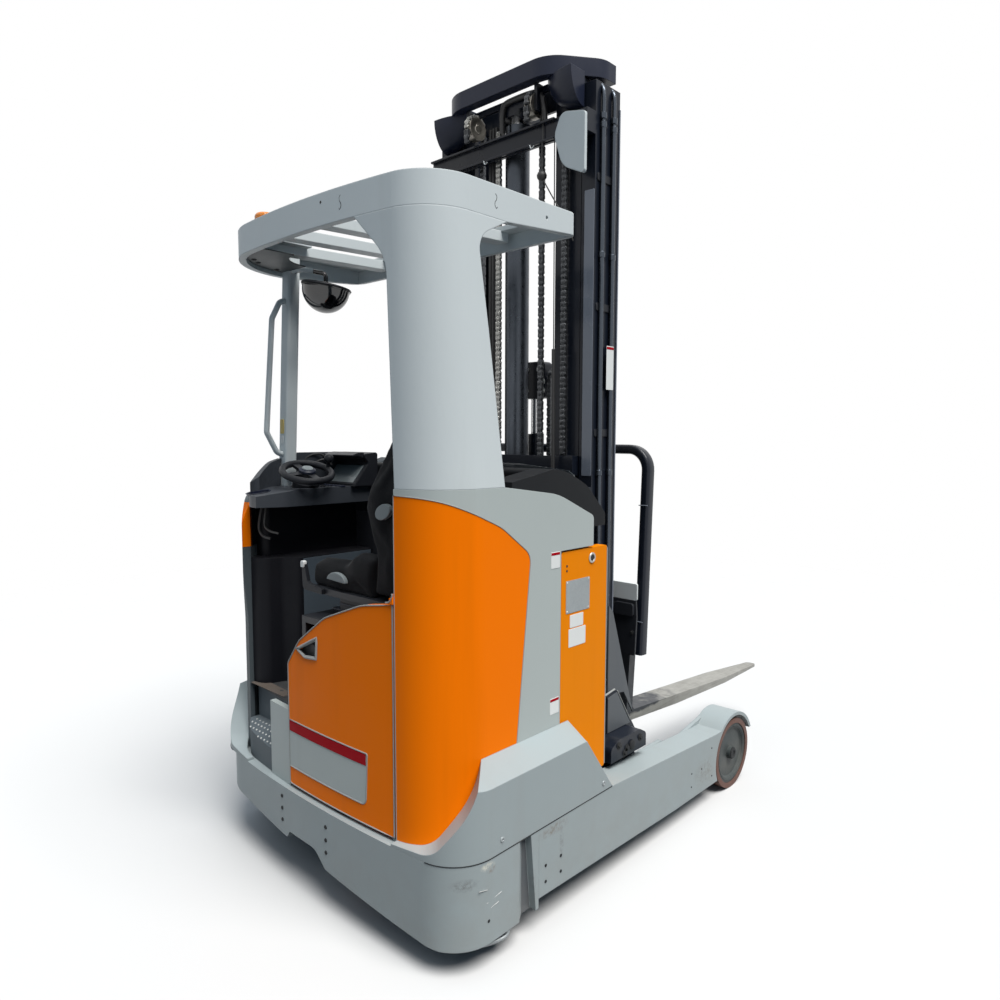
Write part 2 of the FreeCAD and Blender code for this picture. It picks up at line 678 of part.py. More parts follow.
def seat_cushion():
    """Driver's cushion with raised sides; the driver faces the left of the truck."""
    z = pan_z + seat_gap
    rear = seat_back_x - seat_gap
    main = slab([(-165, z + 15, 10), (-165, 1012, 30), (60, 1020, 60), (rear, 1030), (rear, z),
                 (-150, z, 10)], "xz", seat_rear_y + 10, seat_front_y - 10)
    sides = [slab([(-150, z + 10, 8), (-150, 1035, 30), (30, 1042, 60), (85, 1078, 40), (rear, 1085, 5),
                   (rear, z), (-140, z, 8)], "xz", y, y + 60) for y in (seat_rear_y, seat_front_y - 60)]
    return fuse(main, *sides)


def seat_backrest():
    """Driver's backrest, bulged at the loins and narrower towards its top."""
    z = pan_z + seat_gap
    profile = slab([(seat_back_x, z), (seat_back_x, 1090, 10), (166, 1120, 30), (133, 1222, 60),
                    (152, 1290, 80), (222, 1460, 80), (262, 1565, 20), (340, 1580, 30), (345, 1450, 80),
                    (300, 1290, 80), (300, z)], "xz", seat_rear_y, seat_front_y)
    taper = slab([(seat_rear_y, z - 1), (seat_rear_y, 1280, 100), (seat_rear_y + 55, 1480, 100),
                  (seat_rear_y + 65, 1600), (seat_front_y - 65, 1600), (seat_front_y - 55, 1480, 100),
                  (seat_front_y, 1280, 100), (seat_front_y, z - 1)], "yz", 0, 500)
    return profile.common(taper)


def seat_lever():
    """Adjusting lever beside the front of the cushion."""
    side = seat_rear_y - seat_gap
    return slab([(-60, pan_z - 18), (-60, pan_z - 2), (-140, 965, 10), (-158, 1030, 5), (-174, 1030, 5),
                 (-168, 940, 15)], "xz", side - 12, side)


def cab_bulkhead():
    """Wall between the driver and the battery."""
    edge = body_half - body_wall - seat_gap
    return box((-edge, edge), (bulkhead_y, bulkhead_y + bulkhead_thickness), (chassis_top, 1150))


def battery_hood():
    """Moulded cover over the battery, with a ledge along the right wall."""
    edge = body_half - body_wall - seat_gap
    main = slab([(bulkhead_y, 1150), (-800, 1150), (-800, 1190, 20), (-900, 1285, 200),
                 (-1000, 1330, 200),
                 (bulkhead_y, 1345, 20)], "yz", -edge, edge)
    ledge = slab([(bulkhead_y - 180, 1292), (bulkhead_y + 10, 1240), (bulkhead_y + 10, 1342),
                  (bulkhead_y - 180, 1310)], "yz", 450, edge)
    return fuse(main, ledge)


def battery():
    edge = battery_half
    return box((-edge, edge), (battery_rear_y + 6, battery_front_y - 20), (chassis_top, battery_top - 20))


def battery_panel():
    return slab([(battery_rear_y - 8, battery_bottom), (battery_front_y, battery_bottom, 10),
                 (battery_front_y, battery_top, 14), (battery_rear_y - 8, battery_top, 8)], "yz",
                battery_half + seat_gap, body_half - 4)


# ================================================================ drive unit
def drive_mount():
    """Bridge over the drive well with the traction motor on it."""
    bridge = box((door_left_x + 30, 480), (drive_y - 120, drive_y + 120),
                 (bridge_z, bridge_z + bridge_thickness))
    legs = [box((x, x + 25), (drive_y - 120, drive_y + 120), (chassis_top, bridge_z + 1))
            for x in (door_left_x + 30, 455)]
    motor = rod((drive_x, drive_y, bridge_z + bridge_thickness - 1), (0, 0, 1), 115, 260)
    top = rod((drive_x, drive_y, bridge_z + bridge_thickness + 255), (0, 0, 1), 95, 45)
    bore = rod((drive_x, drive_y, bridge_z - 1), (0, 0, 1), steer_pin_r + running_fit, 22)
    return fuse(bridge, *legs, motor, top).cut(bore)


def drive_unit():
    """Turntable and gearbox leg that steer with the drive wheel."""
    table = rod((drive_x, drive_y, turntable_z), (0, 0, 1), turntable_r,
                bridge_z - turntable_z - seat_gap)
    pin = rod((drive_x, drive_y, bridge_z - 5), (0, 0, 1), steer_pin_r, 22)
    side = drive_x - drive_wheel_w / 2 - 8
    leg = slab([(drive_y - 80, 120, 60), (drive_y + 80, 120, 60), (drive_y + 80, turntable_z + 5),
                (drive_y - 80, turntable_z + 5)], "yz", side - 72, side)
    stub = rod((side - 1, drive_y, drive_wheel_r), (1, 0, 0), drive_axle_r, 70)
    return fuse(table, pin, leg, stub)


def drive_wheel():
    inner = drive_x - drive_wheel_w / 2
    rim_r = drive_wheel_r - drive_tyre_depth
    tyre = rod((inner, drive_y, drive_wheel_r), (1, 0, 0), drive_wheel_r, drive_wheel_w)
    tyre = tyre.cut(rod((inner - 1, drive_y, drive_wheel_r), (1, 0, 0), rim_r, drive_wheel_w + 2))
    hub = rod((inner, drive_y, drive_wheel_r), (1, 0, 0), rim_r, drive_wheel_w - 10)
    hub = hub.cut(rod((inner - 1, drive_y, drive_wheel_r), (1, 0, 0), drive_axle_r + running_fit, 74))
    return tyre, hub


# ================================================================ mast
def stage_x(stage):
    """Outer face of the right channel of stage 0, 1 or 2, counted inwards."""
    return outer_half - stage * (channel_width + stage_gap)


def channel(stage, foot, top):
    """Right mast channel, open towards the middle."""
    outer = stage_x(stage)
    depth = outer_depth - stage * depth_step
    low, high = stage_y - depth / 2, stage_y + depth / 2
    solid = box((outer - channel_width, outer), (low, high), (foot, top))
    hollow = box((outer - channel_width - 1, outer - channel_web),
                 (low + channel_flange, high - channel_flange), (foot - 1, top + 1))
    return solid.cut(hollow)


def roller(stage, z):
    """Roller on the outside of a stage, running in the channel outside it."""
    start = stage_x(stage) - 2
    radius = (outer_depth - (stage - 1) * depth_step) / 2 - channel_flange - seat_gap
    return rod((start, stage_y, z), (1, 0, 0), radius, stage_gap + 2 + 30)


def bar_back(stage):
    """Rear face of the crossbars of the outer or middle stage, behind the main cylinder."""
    return lift_barrel_y - lift_barrel_r - (2 - stage) * (stage_clearance + bar_thickness)


def crossbars(stage, heights):
    """Bars behind the main cylinder with the lugs that tie them to the channels."""
    back = bar_back(stage)
    rear = stage_y - (outer_depth - stage * depth_step) / 2
    outer = stage_x(stage)
    pieces = []
    for z in heights:
        pieces.append(box((-outer, outer), (back, back + bar_thickness), z))
        pieces += both(box((outer - channel_width, outer), (back, rear + 1), z))
    return pieces


def outer_mast():
    """Outer stage: two channels tied by crossbars behind them."""
    heights = ((110, 240), (1180, 1260), (mast_height - 180, mast_height - 105))
    return fuse(*both(channel(0, stage_foot, mast_height)), *crossbars(0, heights))


def mast_badge():
    """Blank rounded cover plate on the right end of the top crossbar."""
    back = bar_back(0)
    top = mast_height - 98
    return slab([(outer_half, top - 227, 10), (outer_half, top - 22, 12), (outer_half - 100, top, 30),
                 (outer_half - 132, top - 72, 60), (outer_half - 95, top - 182, 80)],
                "xz", back - 14, back - seat_gap)


def lift_cylinder():
    """Main lift cylinder barrel in the middle of the mast."""
    y = lift_barrel_y
    back = bar_back(0) + bar_thickness
    barrel = rod((0, y, 120), (0, 0, 1), lift_barrel_r, barrel_top - 120)
    bore = rod((0, y, 200), (0, 0, 1), lift_rod_r + running_fit, barrel_top)
    foot = box((-48, 48), (back, y + 30), (112, 150))
    return fuse(barrel, foot).cut(bore)


def middle_mast():
    """Middle stage with rollers at its foot and a bracket above the main cylinder."""
    pieces = [piece for z in (stage_foot + 60, stage_foot + 360) for piece in both(roller(1, z))]
    pieces += both(channel(1, stage_foot + 5, stage_height))
    pieces += crossbars(1, ((300, 380), (1300, 1370), (stage_height - 22, stage_height)))
    low = barrel_top + 20
    pieces.append(box((-38, 38), (bar_back(1), lift_barrel_y + 35), (low, stage_height - 5)))
    pieces.append(slab([(-38, low), (38, low), (60, low + 15), (130, low + 15), (130, stage_height),
                        (-38, stage_height)], "xz", bar_back(1), bar_back(1) + 24))
    pieces += both(box((sheave_x + 13 + seat_gap, sheave_x + 27), (sheave_y - 22, bar_back(1) + 5),
                       (sheave_z - 22, stage_height)))
    pieces += both(rod((sheave_x - 13, sheave_y, sheave_z), (1, 0, 0), 10, 30))
    return fuse(*pieces)


def chain_sheaves():
    """Chain pulleys behind the middle stage's top crossbar."""
    wheel = rod((sheave_x - 13, sheave_y, sheave_z), (1, 0, 0), sheave_r, 26)
    return both(wheel.cut(rod((sheave_x - 14, sheave_y, sheave_z), (1, 0, 0), 10 + seat_gap, 28)))


def lift_rod():
    """Main cylinder rod, fixed under the middle stage's top bracket."""
    length = lift_travel + 400
    return rod((0, lift_barrel_y, barrel_top + 20 - length), (0, 0, 1), lift_rod_r, length)


def mast_cover():
    """Moulded band bowed round the back of the mast top, closed over at its ends."""
    z = (stage_height + 4, stage_height + 66)
    half, front, back, thick = outer_half - 18, stage_y + 70, stage_y - 165, 42
    turn = 165
    right = [(half, front), (half, back + turn, 90), (half - turn + 40, back, 130)]
    left = [(-x, *rest) for x, *rest in reversed(right)]
    outer = slab(right + left, "xy", *z)
    within = [(half - thick, front + 1), (half - thick, back + turn + 16, 50),
              (half - turn + 24, back + thick, 90)]
    mirror = [(-x, *rest) for x, *rest in reversed(within)]
    band = outer.cut(slab(within + mirror, "xy", z[0] - 1, z[1] + 1))
    lid = slab(right + left, "xy", z[1] - 8, z[1])
    path = stage_x(2) + stage_gap
    behind = stage_y - (outer_depth - 2 * depth_step) / 2 - stage_gap
    lid = lid.cut(box((-half + 190, half - 190), (-2000, 0), (0, 4000)))
    lid = lid.cut(box((-path, path), (behind, 0), (0, 4000)))
    posts = both(box((stage_x(1) - channel_web, stage_x(1)), (stage_y - 30, stage_y + 30),
                     (stage_height + seat_gap, z[1] - 4)))
    return fuse(band, lid, *posts)


def bowed_bar(z):
    """Inner stage crossbar, bowed forwards round the main cylinder."""
    reach = stage_x(2) - channel_width - seat_gap
    rear = stage_y - (outer_depth - 2 * depth_step) / 2
    side = lift_barrel_r + stage_clearance
    front = lift_barrel_y + lift_barrel_r + stage_clearance
    t = bar_thickness
    right = [(side + t, front + t), (side + t, rear + t), (reach, rear + t), (reach, rear), (side, rear),
             (side, front)]
    left = [(-x, y) for x, y in reversed(right)]
    return slab(right + left, "xy", *z)


def inner_mast():
    """Rails of the inner stage with rollers at their feet."""
    rollers = [roller(2, z) for z in (stage_foot + 60, stage_foot + 360)]
    return both(fuse(channel(2, stage_foot + 10, stage_height - 5), *rollers))


def inner_crossbars():
    """Bars between the rails of the inner stage."""
    return [bowed_bar(z) for z in ((120, 190), (1150, 1210), (stage_height - 80, stage_height - 5))]


free_y = stage_y + 80


def free_lift_cylinder():
    """Free-lift barrel on the inner stage."""
    barrel = rod((0, free_y, 160), (0, 0, 1), 32, 1290)
    bore = rod((0, free_y, 220), (0, 0, 1), 20 + running_fit, 1400)
    front = lift_barrel_y + lift_barrel_r + stage_clearance + bar_thickness
    foot = box((-50, 50), (front, free_y + 10), (130, 170))
    return fuse(barrel, foot).cut(bore)


def lift_crosshead():
    """Free-lift rod with its crosshead and the two chain pulleys."""
    piston = rod((0, free_y, 450), (0, 0, 1), 20, 1150)
    head = slab([(-62, 1590, 12), (62, 1590, 12), (62, 1735, 20), (-62, 1735, 20)], "xz",
                free_y - 22, free_y + 22)
    axle = rod((-115, free_y, 1665), (1, 0, 0), 12, 230)
    wheels = [rod((x, free_y, 1665), (1, 0, 0), 34, 26) for x in (-113, 87)]
    return fuse(piston, head, axle, *wheels)


# ================================================================ reach carriage
def reach_carriage():
    """Carriage between the wheel arms that carries the mast."""
    back = stage_y - outer_depth / 2
    side = half_width - arm_width - arm_plate - 15
    beam_y = bar_back(0)
    beam = box((-side, side), (beam_y - 66, beam_y), (110, 240))
    halves = []
    plate = box((side - 30, side), (beam_y - 66, -540), (110, 340))
    link = box((outer_half, side), (beam_y - 1, -560), (110, 240))
    shoe = slab([(back - 107, 331), (-560, 331), (-560, 380, 20), (-600, 402, 20), (back - 60, 402, 20),
                 (back - 107, 380, 20)], "yz", side - 30, side + 60)
    gusset = slab([(back - 49, 300), (back - 49, 534), (back + 13, 543), (-525, 352), (-560, 300)], "yz",
                  side - 22, side)
    for y in (back - 90, -600):
        halves += both(box((side - 1, side + 15 - seat_gap), (y, y + 60), (170, 230)))
    for piece in (plate, link, shoe, gusset):
        halves += both(piece)
    return fuse(beam, *halves)


# ================================================================ fork carriage
def fork_carriage():
    """Roller arms in the inner stage and the two bars that the side shifter rides on."""
    radius = (outer_depth - 2 * depth_step) / 2 - channel_flange - seat_gap
    inner = stage_x(2) - channel_width
    pieces = []
    for z in (carriage_low + 45, carriage_high + 12):
        pieces += both(rod((inner - 6, stage_y, z), (1, 0, 0), radius, channel_width - channel_web + 4))
    pieces += both(box((inner - 30, inner - 5), (stage_y - 40, carriage_bar_y + 1),
                       (carriage_low, carriage_high + carriage_bar)))
    for z in (carriage_low, carriage_high):
        pieces.append(box((-350, 350), (carriage_bar_y, carriage_bar_y + bar_thickness),
                          (z, z + carriage_bar)))
    return fuse(*pieces)


def side_shifter():
    """Frame hooked over the carriage bars, with the pins that the fork frame tilts on."""
    y = carriage_bar_y + bar_thickness + seat_gap
    low, high = carriage_low, carriage_high + carriage_bar
    plate = box((-330, 330), (y, y + 10), (low - 25, high + 25))
    window = box((-262, 262), (y - 1, y + 11), (low + 65, high - 65))
    hooks = [box((-300, 300), (carriage_bar_y - 5, y + 1), z)
             for z in ((low - 25, low - seat_gap), (high + seat_gap, high + 25))]
    lugs = both(box((120, 150), (y + 9, tilt_y + 22), (tilt_z - 24, tilt_z + 18)))
    pins = both(rod((149, tilt_y, tilt_z), (1, 0, 0), tilt_pin_r, 42))
    return fuse(plate.cut(window), *hooks, *lugs, *pins)


def fork_frame():
    """Plate between the forks with its tilt ears and the bar that the forks hang from."""
    rear, front = fork_face_y - fork_heel, fork_face_y
    plate = box((-fork_centre_x + 60, fork_centre_x - 60), (rear, rear + 20), (300, 640))
    window = box((-120, 120), (rear - 1, rear + 21), (380, 590))
    bar = box((-fork_bar_half, fork_bar_half), (rear, front), (600, 650))
    ears = []
    for half in both(fuse(box((151, 189), (rear, tilt_y + 20), (640, tilt_z)),
                          rod((151, tilt_y, tilt_z), (1, 0, 0), 26, 38))):
        ears.append(half)
    bore = rod((-200, tilt_y, tilt_z), (1, 0, 0), tilt_pin_r + running_fit, 400)
    return turned(fuse(plate.cut(window), bar, *ears).cut(bore), fork_lean)


def fork():
    """Right fork: hung shank, heel and tapering blade."""
    face = fork_face_y
    side = slab([(face - fork_heel, 599.7), (face - fork_heel, fork_top_z - fork_heel, 30),
                 (face + 350, fork_top_z - fork_heel), (face + fork_length, fork_top_z - fork_tip, 4),
                 (face + fork_length, fork_top_z), (face, fork_top_z, 25), (face, 599.7)], "yz",
                fork_centre_x - fork_width / 2, fork_centre_x + fork_width / 2)
    half = fork_width / 2
    top = slab([(fork_centre_x - half, face - 60), (fork_centre_x + half, face - 60),
                (fork_centre_x + half, face + 800, 300), (fork_centre_x + 22, face + fork_length, 18),
                (fork_centre_x - 22, face + fork_length, 18), (fork_centre_x - half, face + 800, 300)],
               "xy", 200, 700)
    return turned(side.common(top), fork_lean)


def load_backrest():
    """Tube frame above the forks with upright bars."""
    y = fork_face_y - 24
    x = 432
    hoop = bent_tube([(x, y, 609), (x, y, 1392), (-x, y, 1392), (-x, y, 609)], 18, 80)
    bars = [rod((s * 100, y, 650 + seat_gap), (0, 0, 1), 9, 735) for s in (-1, 1)]
    ties = both(box((fork_bar_half + seat_gap, x), (y - 10, y + 10), (612, 645)))
    return turned(fuse(hoop, *bars, *ties), backrest_lean)


def main():
    """Write every node."""
    save("chassis_frame", chassis_frame())
    pairs = {"wheel_arm": wheel_arm(), "fender": fender(), "fork": fork()}
    pairs["load_tyre"], pairs["load_hub"] = load_wheel()
    for name, right in pairs.items():
        save(name + "_right", right)
        save(name + "_left", mirrored(right))
    shell_right, corner_panel = body_right()
    shell_left, side_panel = body_left()
    door, emblem = rear_door()
    tyre, hub = drive_wheel()
    single = {
        "body_shell_right": shell_right, "corner_panel": corner_panel, "body_shell_left": shell_left,
        "side_panel_left": side_panel, "rear_door": door, "door_plate": emblem,
              "rear_pillar": rear_pillar(),
        "overhead_guard": overhead_guard(), "front_pillar": front_pillar(), "grab_handle": grab_handle(),
        "dome_mirror": dome_mirror(), "warning_beacon": warning_beacon(), "cab_floor": cab_floor(),
        "entry_step": entry_step(), "step_panel": step_panel(), "console": console(),
        "console_base": console_base(), "instrument_panel": instrument_panel(),
        "steering_column": steering_column(), "steering_wheel": steering_wheel(),
              "seat_base": seat_base(),
        "seat_cushion": seat_cushion(), "seat_backrest": seat_backrest(), "seat_lever": seat_lever(),
        "cab_bulkhead": cab_bulkhead(), "battery_hood": battery_hood(), "battery": battery(),
        "drive_mount": drive_mount(), "drive_unit": drive_unit(), "drive_tyre": tyre, "drive_hub": hub,
        "reach_carriage": reach_carriage(), "outer_mast": outer_mast(), "mast_badge": mast_badge(),
        "lift_cylinder": lift_cylinder(), "middle_mast": middle_mast(), "lift_rod": lift_rod(),
        "mast_cover": mast_cover(), "free_lift_cylinder": free_lift_cylinder(),
        "lift_crosshead": lift_crosshead(), "fork_carriage": fork_carriage(),
              "side_shifter": side_shifter(),
        "fork_frame": fork_frame(), "load_backrest": load_backrest(),
    }
    for name, shape in single.items():
        save(name, shape)
    panel = battery_panel()
    save("battery_panels", panel, mirrored(panel))
    save("chain_sheaves", *chain_sheaves())
    save("inner_mast", *inner_mast())
    save("inner_crossbars", *inner_crossbars())


if __name__ == "__main__":
    main()
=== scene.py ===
"""Looks of the electric reach truck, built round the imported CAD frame.  Metres; +Y forks, +X driver's back, +Z up."""
import json
import math
from functools import lru_cache

import bmesh
import bpy
from mathutils import Matrix, Vector
from mathutils.bvhtree import BVHTree

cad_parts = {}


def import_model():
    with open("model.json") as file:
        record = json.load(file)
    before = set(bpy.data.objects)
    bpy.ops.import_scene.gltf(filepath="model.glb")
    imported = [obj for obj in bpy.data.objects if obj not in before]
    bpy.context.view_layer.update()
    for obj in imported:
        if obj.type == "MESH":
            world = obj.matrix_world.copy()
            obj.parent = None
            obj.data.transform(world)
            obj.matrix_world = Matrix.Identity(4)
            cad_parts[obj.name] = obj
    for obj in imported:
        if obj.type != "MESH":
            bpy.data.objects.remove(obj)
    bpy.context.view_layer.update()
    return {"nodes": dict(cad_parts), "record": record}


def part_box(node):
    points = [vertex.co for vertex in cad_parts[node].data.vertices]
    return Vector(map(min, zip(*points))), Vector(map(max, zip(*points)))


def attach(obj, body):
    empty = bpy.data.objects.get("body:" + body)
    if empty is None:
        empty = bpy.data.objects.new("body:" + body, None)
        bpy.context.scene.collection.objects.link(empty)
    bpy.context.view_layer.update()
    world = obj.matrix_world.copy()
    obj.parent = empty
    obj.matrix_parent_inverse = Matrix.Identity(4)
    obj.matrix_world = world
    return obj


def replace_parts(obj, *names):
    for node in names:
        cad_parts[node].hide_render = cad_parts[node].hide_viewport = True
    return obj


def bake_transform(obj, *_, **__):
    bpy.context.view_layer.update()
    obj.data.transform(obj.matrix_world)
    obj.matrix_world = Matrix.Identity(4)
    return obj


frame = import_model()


# ---------------------------------------------------------------- places taken from the frame
@lru_cache(maxsize=None)
def corners(node):
    """Box of a CAD node, measured once."""
    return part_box(node)


def low(node):
    """Lowest corner of a CAD node's box."""
    return Vector(corners(node)[0])


def high(node):
    """Highest corner of a CAD node's box."""
    return Vector(corners(node)[1])


def middle(node):
    """Middle of a CAD node's box."""
    return (low(node) + high(node)) / 2


AXLE_Y = middle("load_tyre_right").y          # load wheel axle


def at(x, y, z):
    """Point given from the load wheel axle's line, as in the CAD source, in metres."""
    return Vector((x, y + AXLE_Y, z))


# ---------------------------------------------------------------- material tools
class Nodes:
    """A material's node tree with short calls to add and join nodes."""

    def __init__(self, name):
        self.material = bpy.data.materials.new(name)
        self.material.use_nodes = True
        self.tree = self.material.node_tree
        self.shader = self.tree.nodes["Principled BSDF"]
        self.coords = self.add("ShaderNodeTexCoord").outputs["Object"]

    def add(self, kind, **settings):
        """New node of a kind, with its settings."""
        node = self.tree.nodes.new(kind)
        for key, value in settings.items():
            setattr(node, key, value)
        return node

    def join(self, source, target):
        """Link two sockets."""
        self.tree.links.new(source, target)

    def put(self, socket, value):
        """Link a socket to another one, or set it to a value."""
        if isinstance(value, bpy.types.NodeSocket):
            self.join(value, socket)
        else:
            socket.default_value = value

    def feed(self, node, **values):
        """Put values in sockets by name; underscores stand for spaces."""
        for key, value in values.items():
            self.put(node.inputs[key.replace("_", " ")], value)
        return node

    def noise(self, scale, detail=3.0, rough=0.55, stretch=None, vector=None):
        """Noise in the frame's place, stretched along its axes if asked."""
        vector = vector or self.coords
        if stretch:
            mapping = self.feed(self.add("ShaderNodeMapping"), Vector=vector, Scale=stretch)
            vector = mapping.outputs["Vector"]
        node = self.feed(self.add("ShaderNodeTexNoise"), Vector=vector, Scale=scale, Detail=detail, Roughness=rough)
        return node.outputs["Fac"]

    def ramp(self, value, lows, highs, out=(0.0, 1.0)):
        """Value mapped from one range to another and held inside it."""
        node = self.add("ShaderNodeMapRange", clamp=True)
        self.feed(node, Value=value, From_Min=lows, From_Max=highs, To_Min=out[0], To_Max=out[1])
        return node.outputs["Result"]

    def maths(self, operation, a, b=None, clamp=False):
        """Result of a sum on one or two values."""
        node = self.add("ShaderNodeMath", operation=operation, use_clamp=clamp)
        for socket, value in zip(node.inputs, (a, b)):
            if value is not None:
                self.put(socket, value)
        return node.outputs[0]

    def mix(self, factor, a, b):
        """Two colours mixed by a factor."""
        node = self.add("ShaderNodeMix", data_type="RGBA")
        for socket, value in ((node.inputs[0], factor), (node.inputs[6], a), (node.inputs[7], b)):
            self.put(socket, (*value, 1.0) if isinstance(value, tuple) else value)
        return node.outputs[2]

    def bump(self, height, strength, distance, normal=None):
        """Normal roughened by a height."""
        node = self.feed(self.add("ShaderNodeBump"), Height=height, Strength=strength, Distance=distance)
        if normal:
            self.join(normal, node.inputs["Normal"])
        return node.outputs["Normal"]

    def rounded(self, radius):
        """Normal that softens hard edges by this radius."""
        return self.feed(self.add("ShaderNodeBevel", samples=4), Radius=radius).outputs["Normal"]

    def edge_mask(self, radius):
        """White on convex and concave edges: where the softened normal leaves the true one."""
        soft = self.rounded(radius)
        true = self.add("ShaderNodeNewGeometry").outputs["Normal"]
        dot = self.add("ShaderNodeVectorMath", operation="DOT_PRODUCT")
        for socket, normal in zip(dot.inputs, (soft, true)):
            self.join(normal, socket)
        return self.ramp(dot.outputs["Value"], 0.985, 0.90)

    def spot(self, centre, half_sizes):
        """White inside a ragged oval patch."""
        mapping = self.feed(self.add("ShaderNodeMapping"), Vector=self.coords,
                            Location=tuple(-c / h for c, h in zip(centre, half_sizes)),
                            Scale=tuple(1 / h for h in half_sizes))
        length = self.feed(self.add("ShaderNodeVectorMath", operation="LENGTH"), Vector=mapping.outputs["Vector"])
        inside = self.ramp(length.outputs["Value"], 1.0, 0.35)
        return self.maths("MULTIPLY", inside, self.ramp(self.noise(60.0, 8, 0.75), 0.42, 0.62))

    def axis(self, name, vector=None):
        """One axis of the place in the frame, in metres, or of another vector."""
        return self.feed(self.add("ShaderNodeSeparateXYZ"), Vector=vector or self.coords).outputs[name]

    def facing(self, name):
        """How far the surface looks along an axis."""
        return self.axis(name, self.add("ShaderNodeNewGeometry").outputs["Normal"])

    def finish(self, **sockets):
        """Put the last values in the shader and hand over the material."""
        self.feed(self.shader, **sockets)
        return self.material


def srgb(r, g, b):
    """Linear colour from the usual 0-255 values."""
    def one(v):
        """Linear share of one channel."""
        v = v / 255
        return v / 12.92 if v <= 0.04045 else ((v + 0.055) / 1.055) ** 2.4
    return (one(r), one(g), one(b))


def paint(name, colour, rough=0.38, grain=0.0, wear=0.5, under=(0.30, 0.31, 0.32), dirt=(0.25, 0.23, 0.20),
          low_dirt=0.0,
          edge=0.002, coat=0.0, gloss=0.3, marks=(), top_dust=0.0):
    """Sprayed paint: slight mottling, orange peel, worn edges, dust low down and on top, and scuffs.

    A scuff is (centre, half sizes, colour, strength) in metres.
    """
    n = Nodes(name)
    mottle = n.ramp(n.noise(1.7, 5), 0.3, 0.7, (0.0, 0.10))
    shade = tuple(c * 0.72 for c in colour)
    base = n.mix(mottle, colour, shade)
    streak = n.ramp(n.noise(6.0, 6, stretch=(1.0, 1.0, 0.08)), 0.58, 0.80, (0.0, 0.16))
    base = n.mix(streak, base, dirt)
    if low_dirt:
        gather = n.ramp(n.axis("Z"), 0.42, 0.05)
        patchy = n.maths("MULTIPLY", gather, n.ramp(n.noise(9.0, 8, 0.65), 0.35, 0.75))
        base = n.mix(n.maths("MULTIPLY", patchy, low_dirt), base, dirt)
    if top_dust:
        film = n.ramp(n.noise(7.0, 8, 0.7), 0.25, 0.8, (0.7 * top_dust, top_dust))
        base = n.mix(n.maths("MULTIPLY", n.ramp(n.facing("Z"), 0.7, 0.95), film), base, srgb(118, 116, 110))
    for centre, half_sizes, colour_there, strength in marks:
        base = n.mix(n.maths("MULTIPLY", n.spot(centre, half_sizes), strength), base, colour_there)
    chips = n.maths("MULTIPLY", n.edge_mask(edge * 1.5), n.ramp(n.noise(38.0, 6, 0.7), 0.60 - 0.12 * wear, 0.74))
    base = n.mix(n.maths("MULTIPLY", chips, wear), base, under)
    peel = n.noise(420.0, 2)
    fine = n.noise(1400.0, 3, 0.6) if grain else peel
    normal = n.bump(fine, 0.05 + grain, 0.0006, n.rounded(edge))
    roughness = n.ramp(n.noise(5.0, 6, 0.6), 0.25, 0.8, (rough - 0.06, rough + 0.12))
    return n.finish(Base_Color=base, Roughness=roughness, Normal=normal, Coat_Weight=coat, Coat_Roughness=0.08,
                    Specular_IOR_Level=gloss)


def plastic(name, colour, rough=0.5, grain=0.35, edge=0.003, dust=0.12, gloss=0.25):
    """Moulded plastic with a fine grain and a film of dust on its upper faces."""
    n = Nodes(name)
    settle = n.maths("MULTIPLY", n.ramp(n.facing("Z"), 0.3, 1.0), n.ramp(n.noise(14.0, 8, 0.7), 0.35, 0.8))
    base = n.mix(n.ramp(n.noise(3.0, 4), 0.3, 0.7, (0.0, 0.3)), colour, tuple(c * 0.6 for c in colour))
    base = n.mix(n.maths("MULTIPLY", settle, dust), base, (0.32, 0.31, 0.29))
    voronoi = n.feed(n.add("ShaderNodeTexVoronoi"), Vector=n.coords, Scale=900.0)
    normal = n.bump(voronoi.outputs["Distance"], grain * 0.4, 0.0004, n.rounded(edge))
    roughness = n.ramp(n.noise(8.0, 6), 0.3, 0.8, (rough - 0.05, rough + 0.12))
    return n.finish(Base_Color=base, Roughness=roughness, Normal=normal, Specular_IOR_Level=gloss)


def steel(name, colour, rough=0.3, scratch=(1, 1, 1), dirt=0.3, metal=1.0, edge=0.0015):
    """Bare or plated metal with directional scratches and grime."""
    n = Nodes(name)
    lines = n.noise(180.0, 4, 0.6, stretch=scratch)
    grime = n.ramp(n.noise(7.0, 8, 0.7), 0.45, 0.8, (0.0, dirt))
    base = n.mix(grime, colour, tuple(c * 0.35 for c in colour))
    base = n.mix(n.ramp(lines, 0.4, 0.7, (0.0, 0.25)), base, tuple(min(1.0, c * 1.35) for c in colour))
    normal = n.bump(lines, 0.12, 0.0005, n.rounded(edge))
    roughness = n.ramp(n.noise(30.0, 6), 0.3, 0.8, (rough - 0.08, rough + 0.18))
    return n.finish(Base_Color=base, Roughness=roughness, Normal=normal, Metallic=metal)


def fabric(name, colour, scale=900.0):
    """Woven seat cloth."""
    n = Nodes(name)
    weave_x = n.feed(n.add("ShaderNodeTexWave", bands_direction="DIAGONAL"), Vector=n.coords, Scale=scale * 0.3,
                     Distortion=1.5, Detail=2.0)
    base = n.mix(weave_x.outputs["Fac"], colour, tuple(c * 0.45 for c in colour))
    base = n.mix(n.ramp(n.noise(6.0, 6), 0.4, 0.8, (0.0, 0.12)), base, (0.12, 0.12, 0.12))
    normal = n.bump(weave_x.outputs["Fac"], 0.35, 0.0008)
    return n.finish(Base_Color=base, Roughness=0.9, Normal=normal, Sheen_Weight=0.08, Sheen_Roughness=0.4,
                    Specular_IOR_Level=0.12)


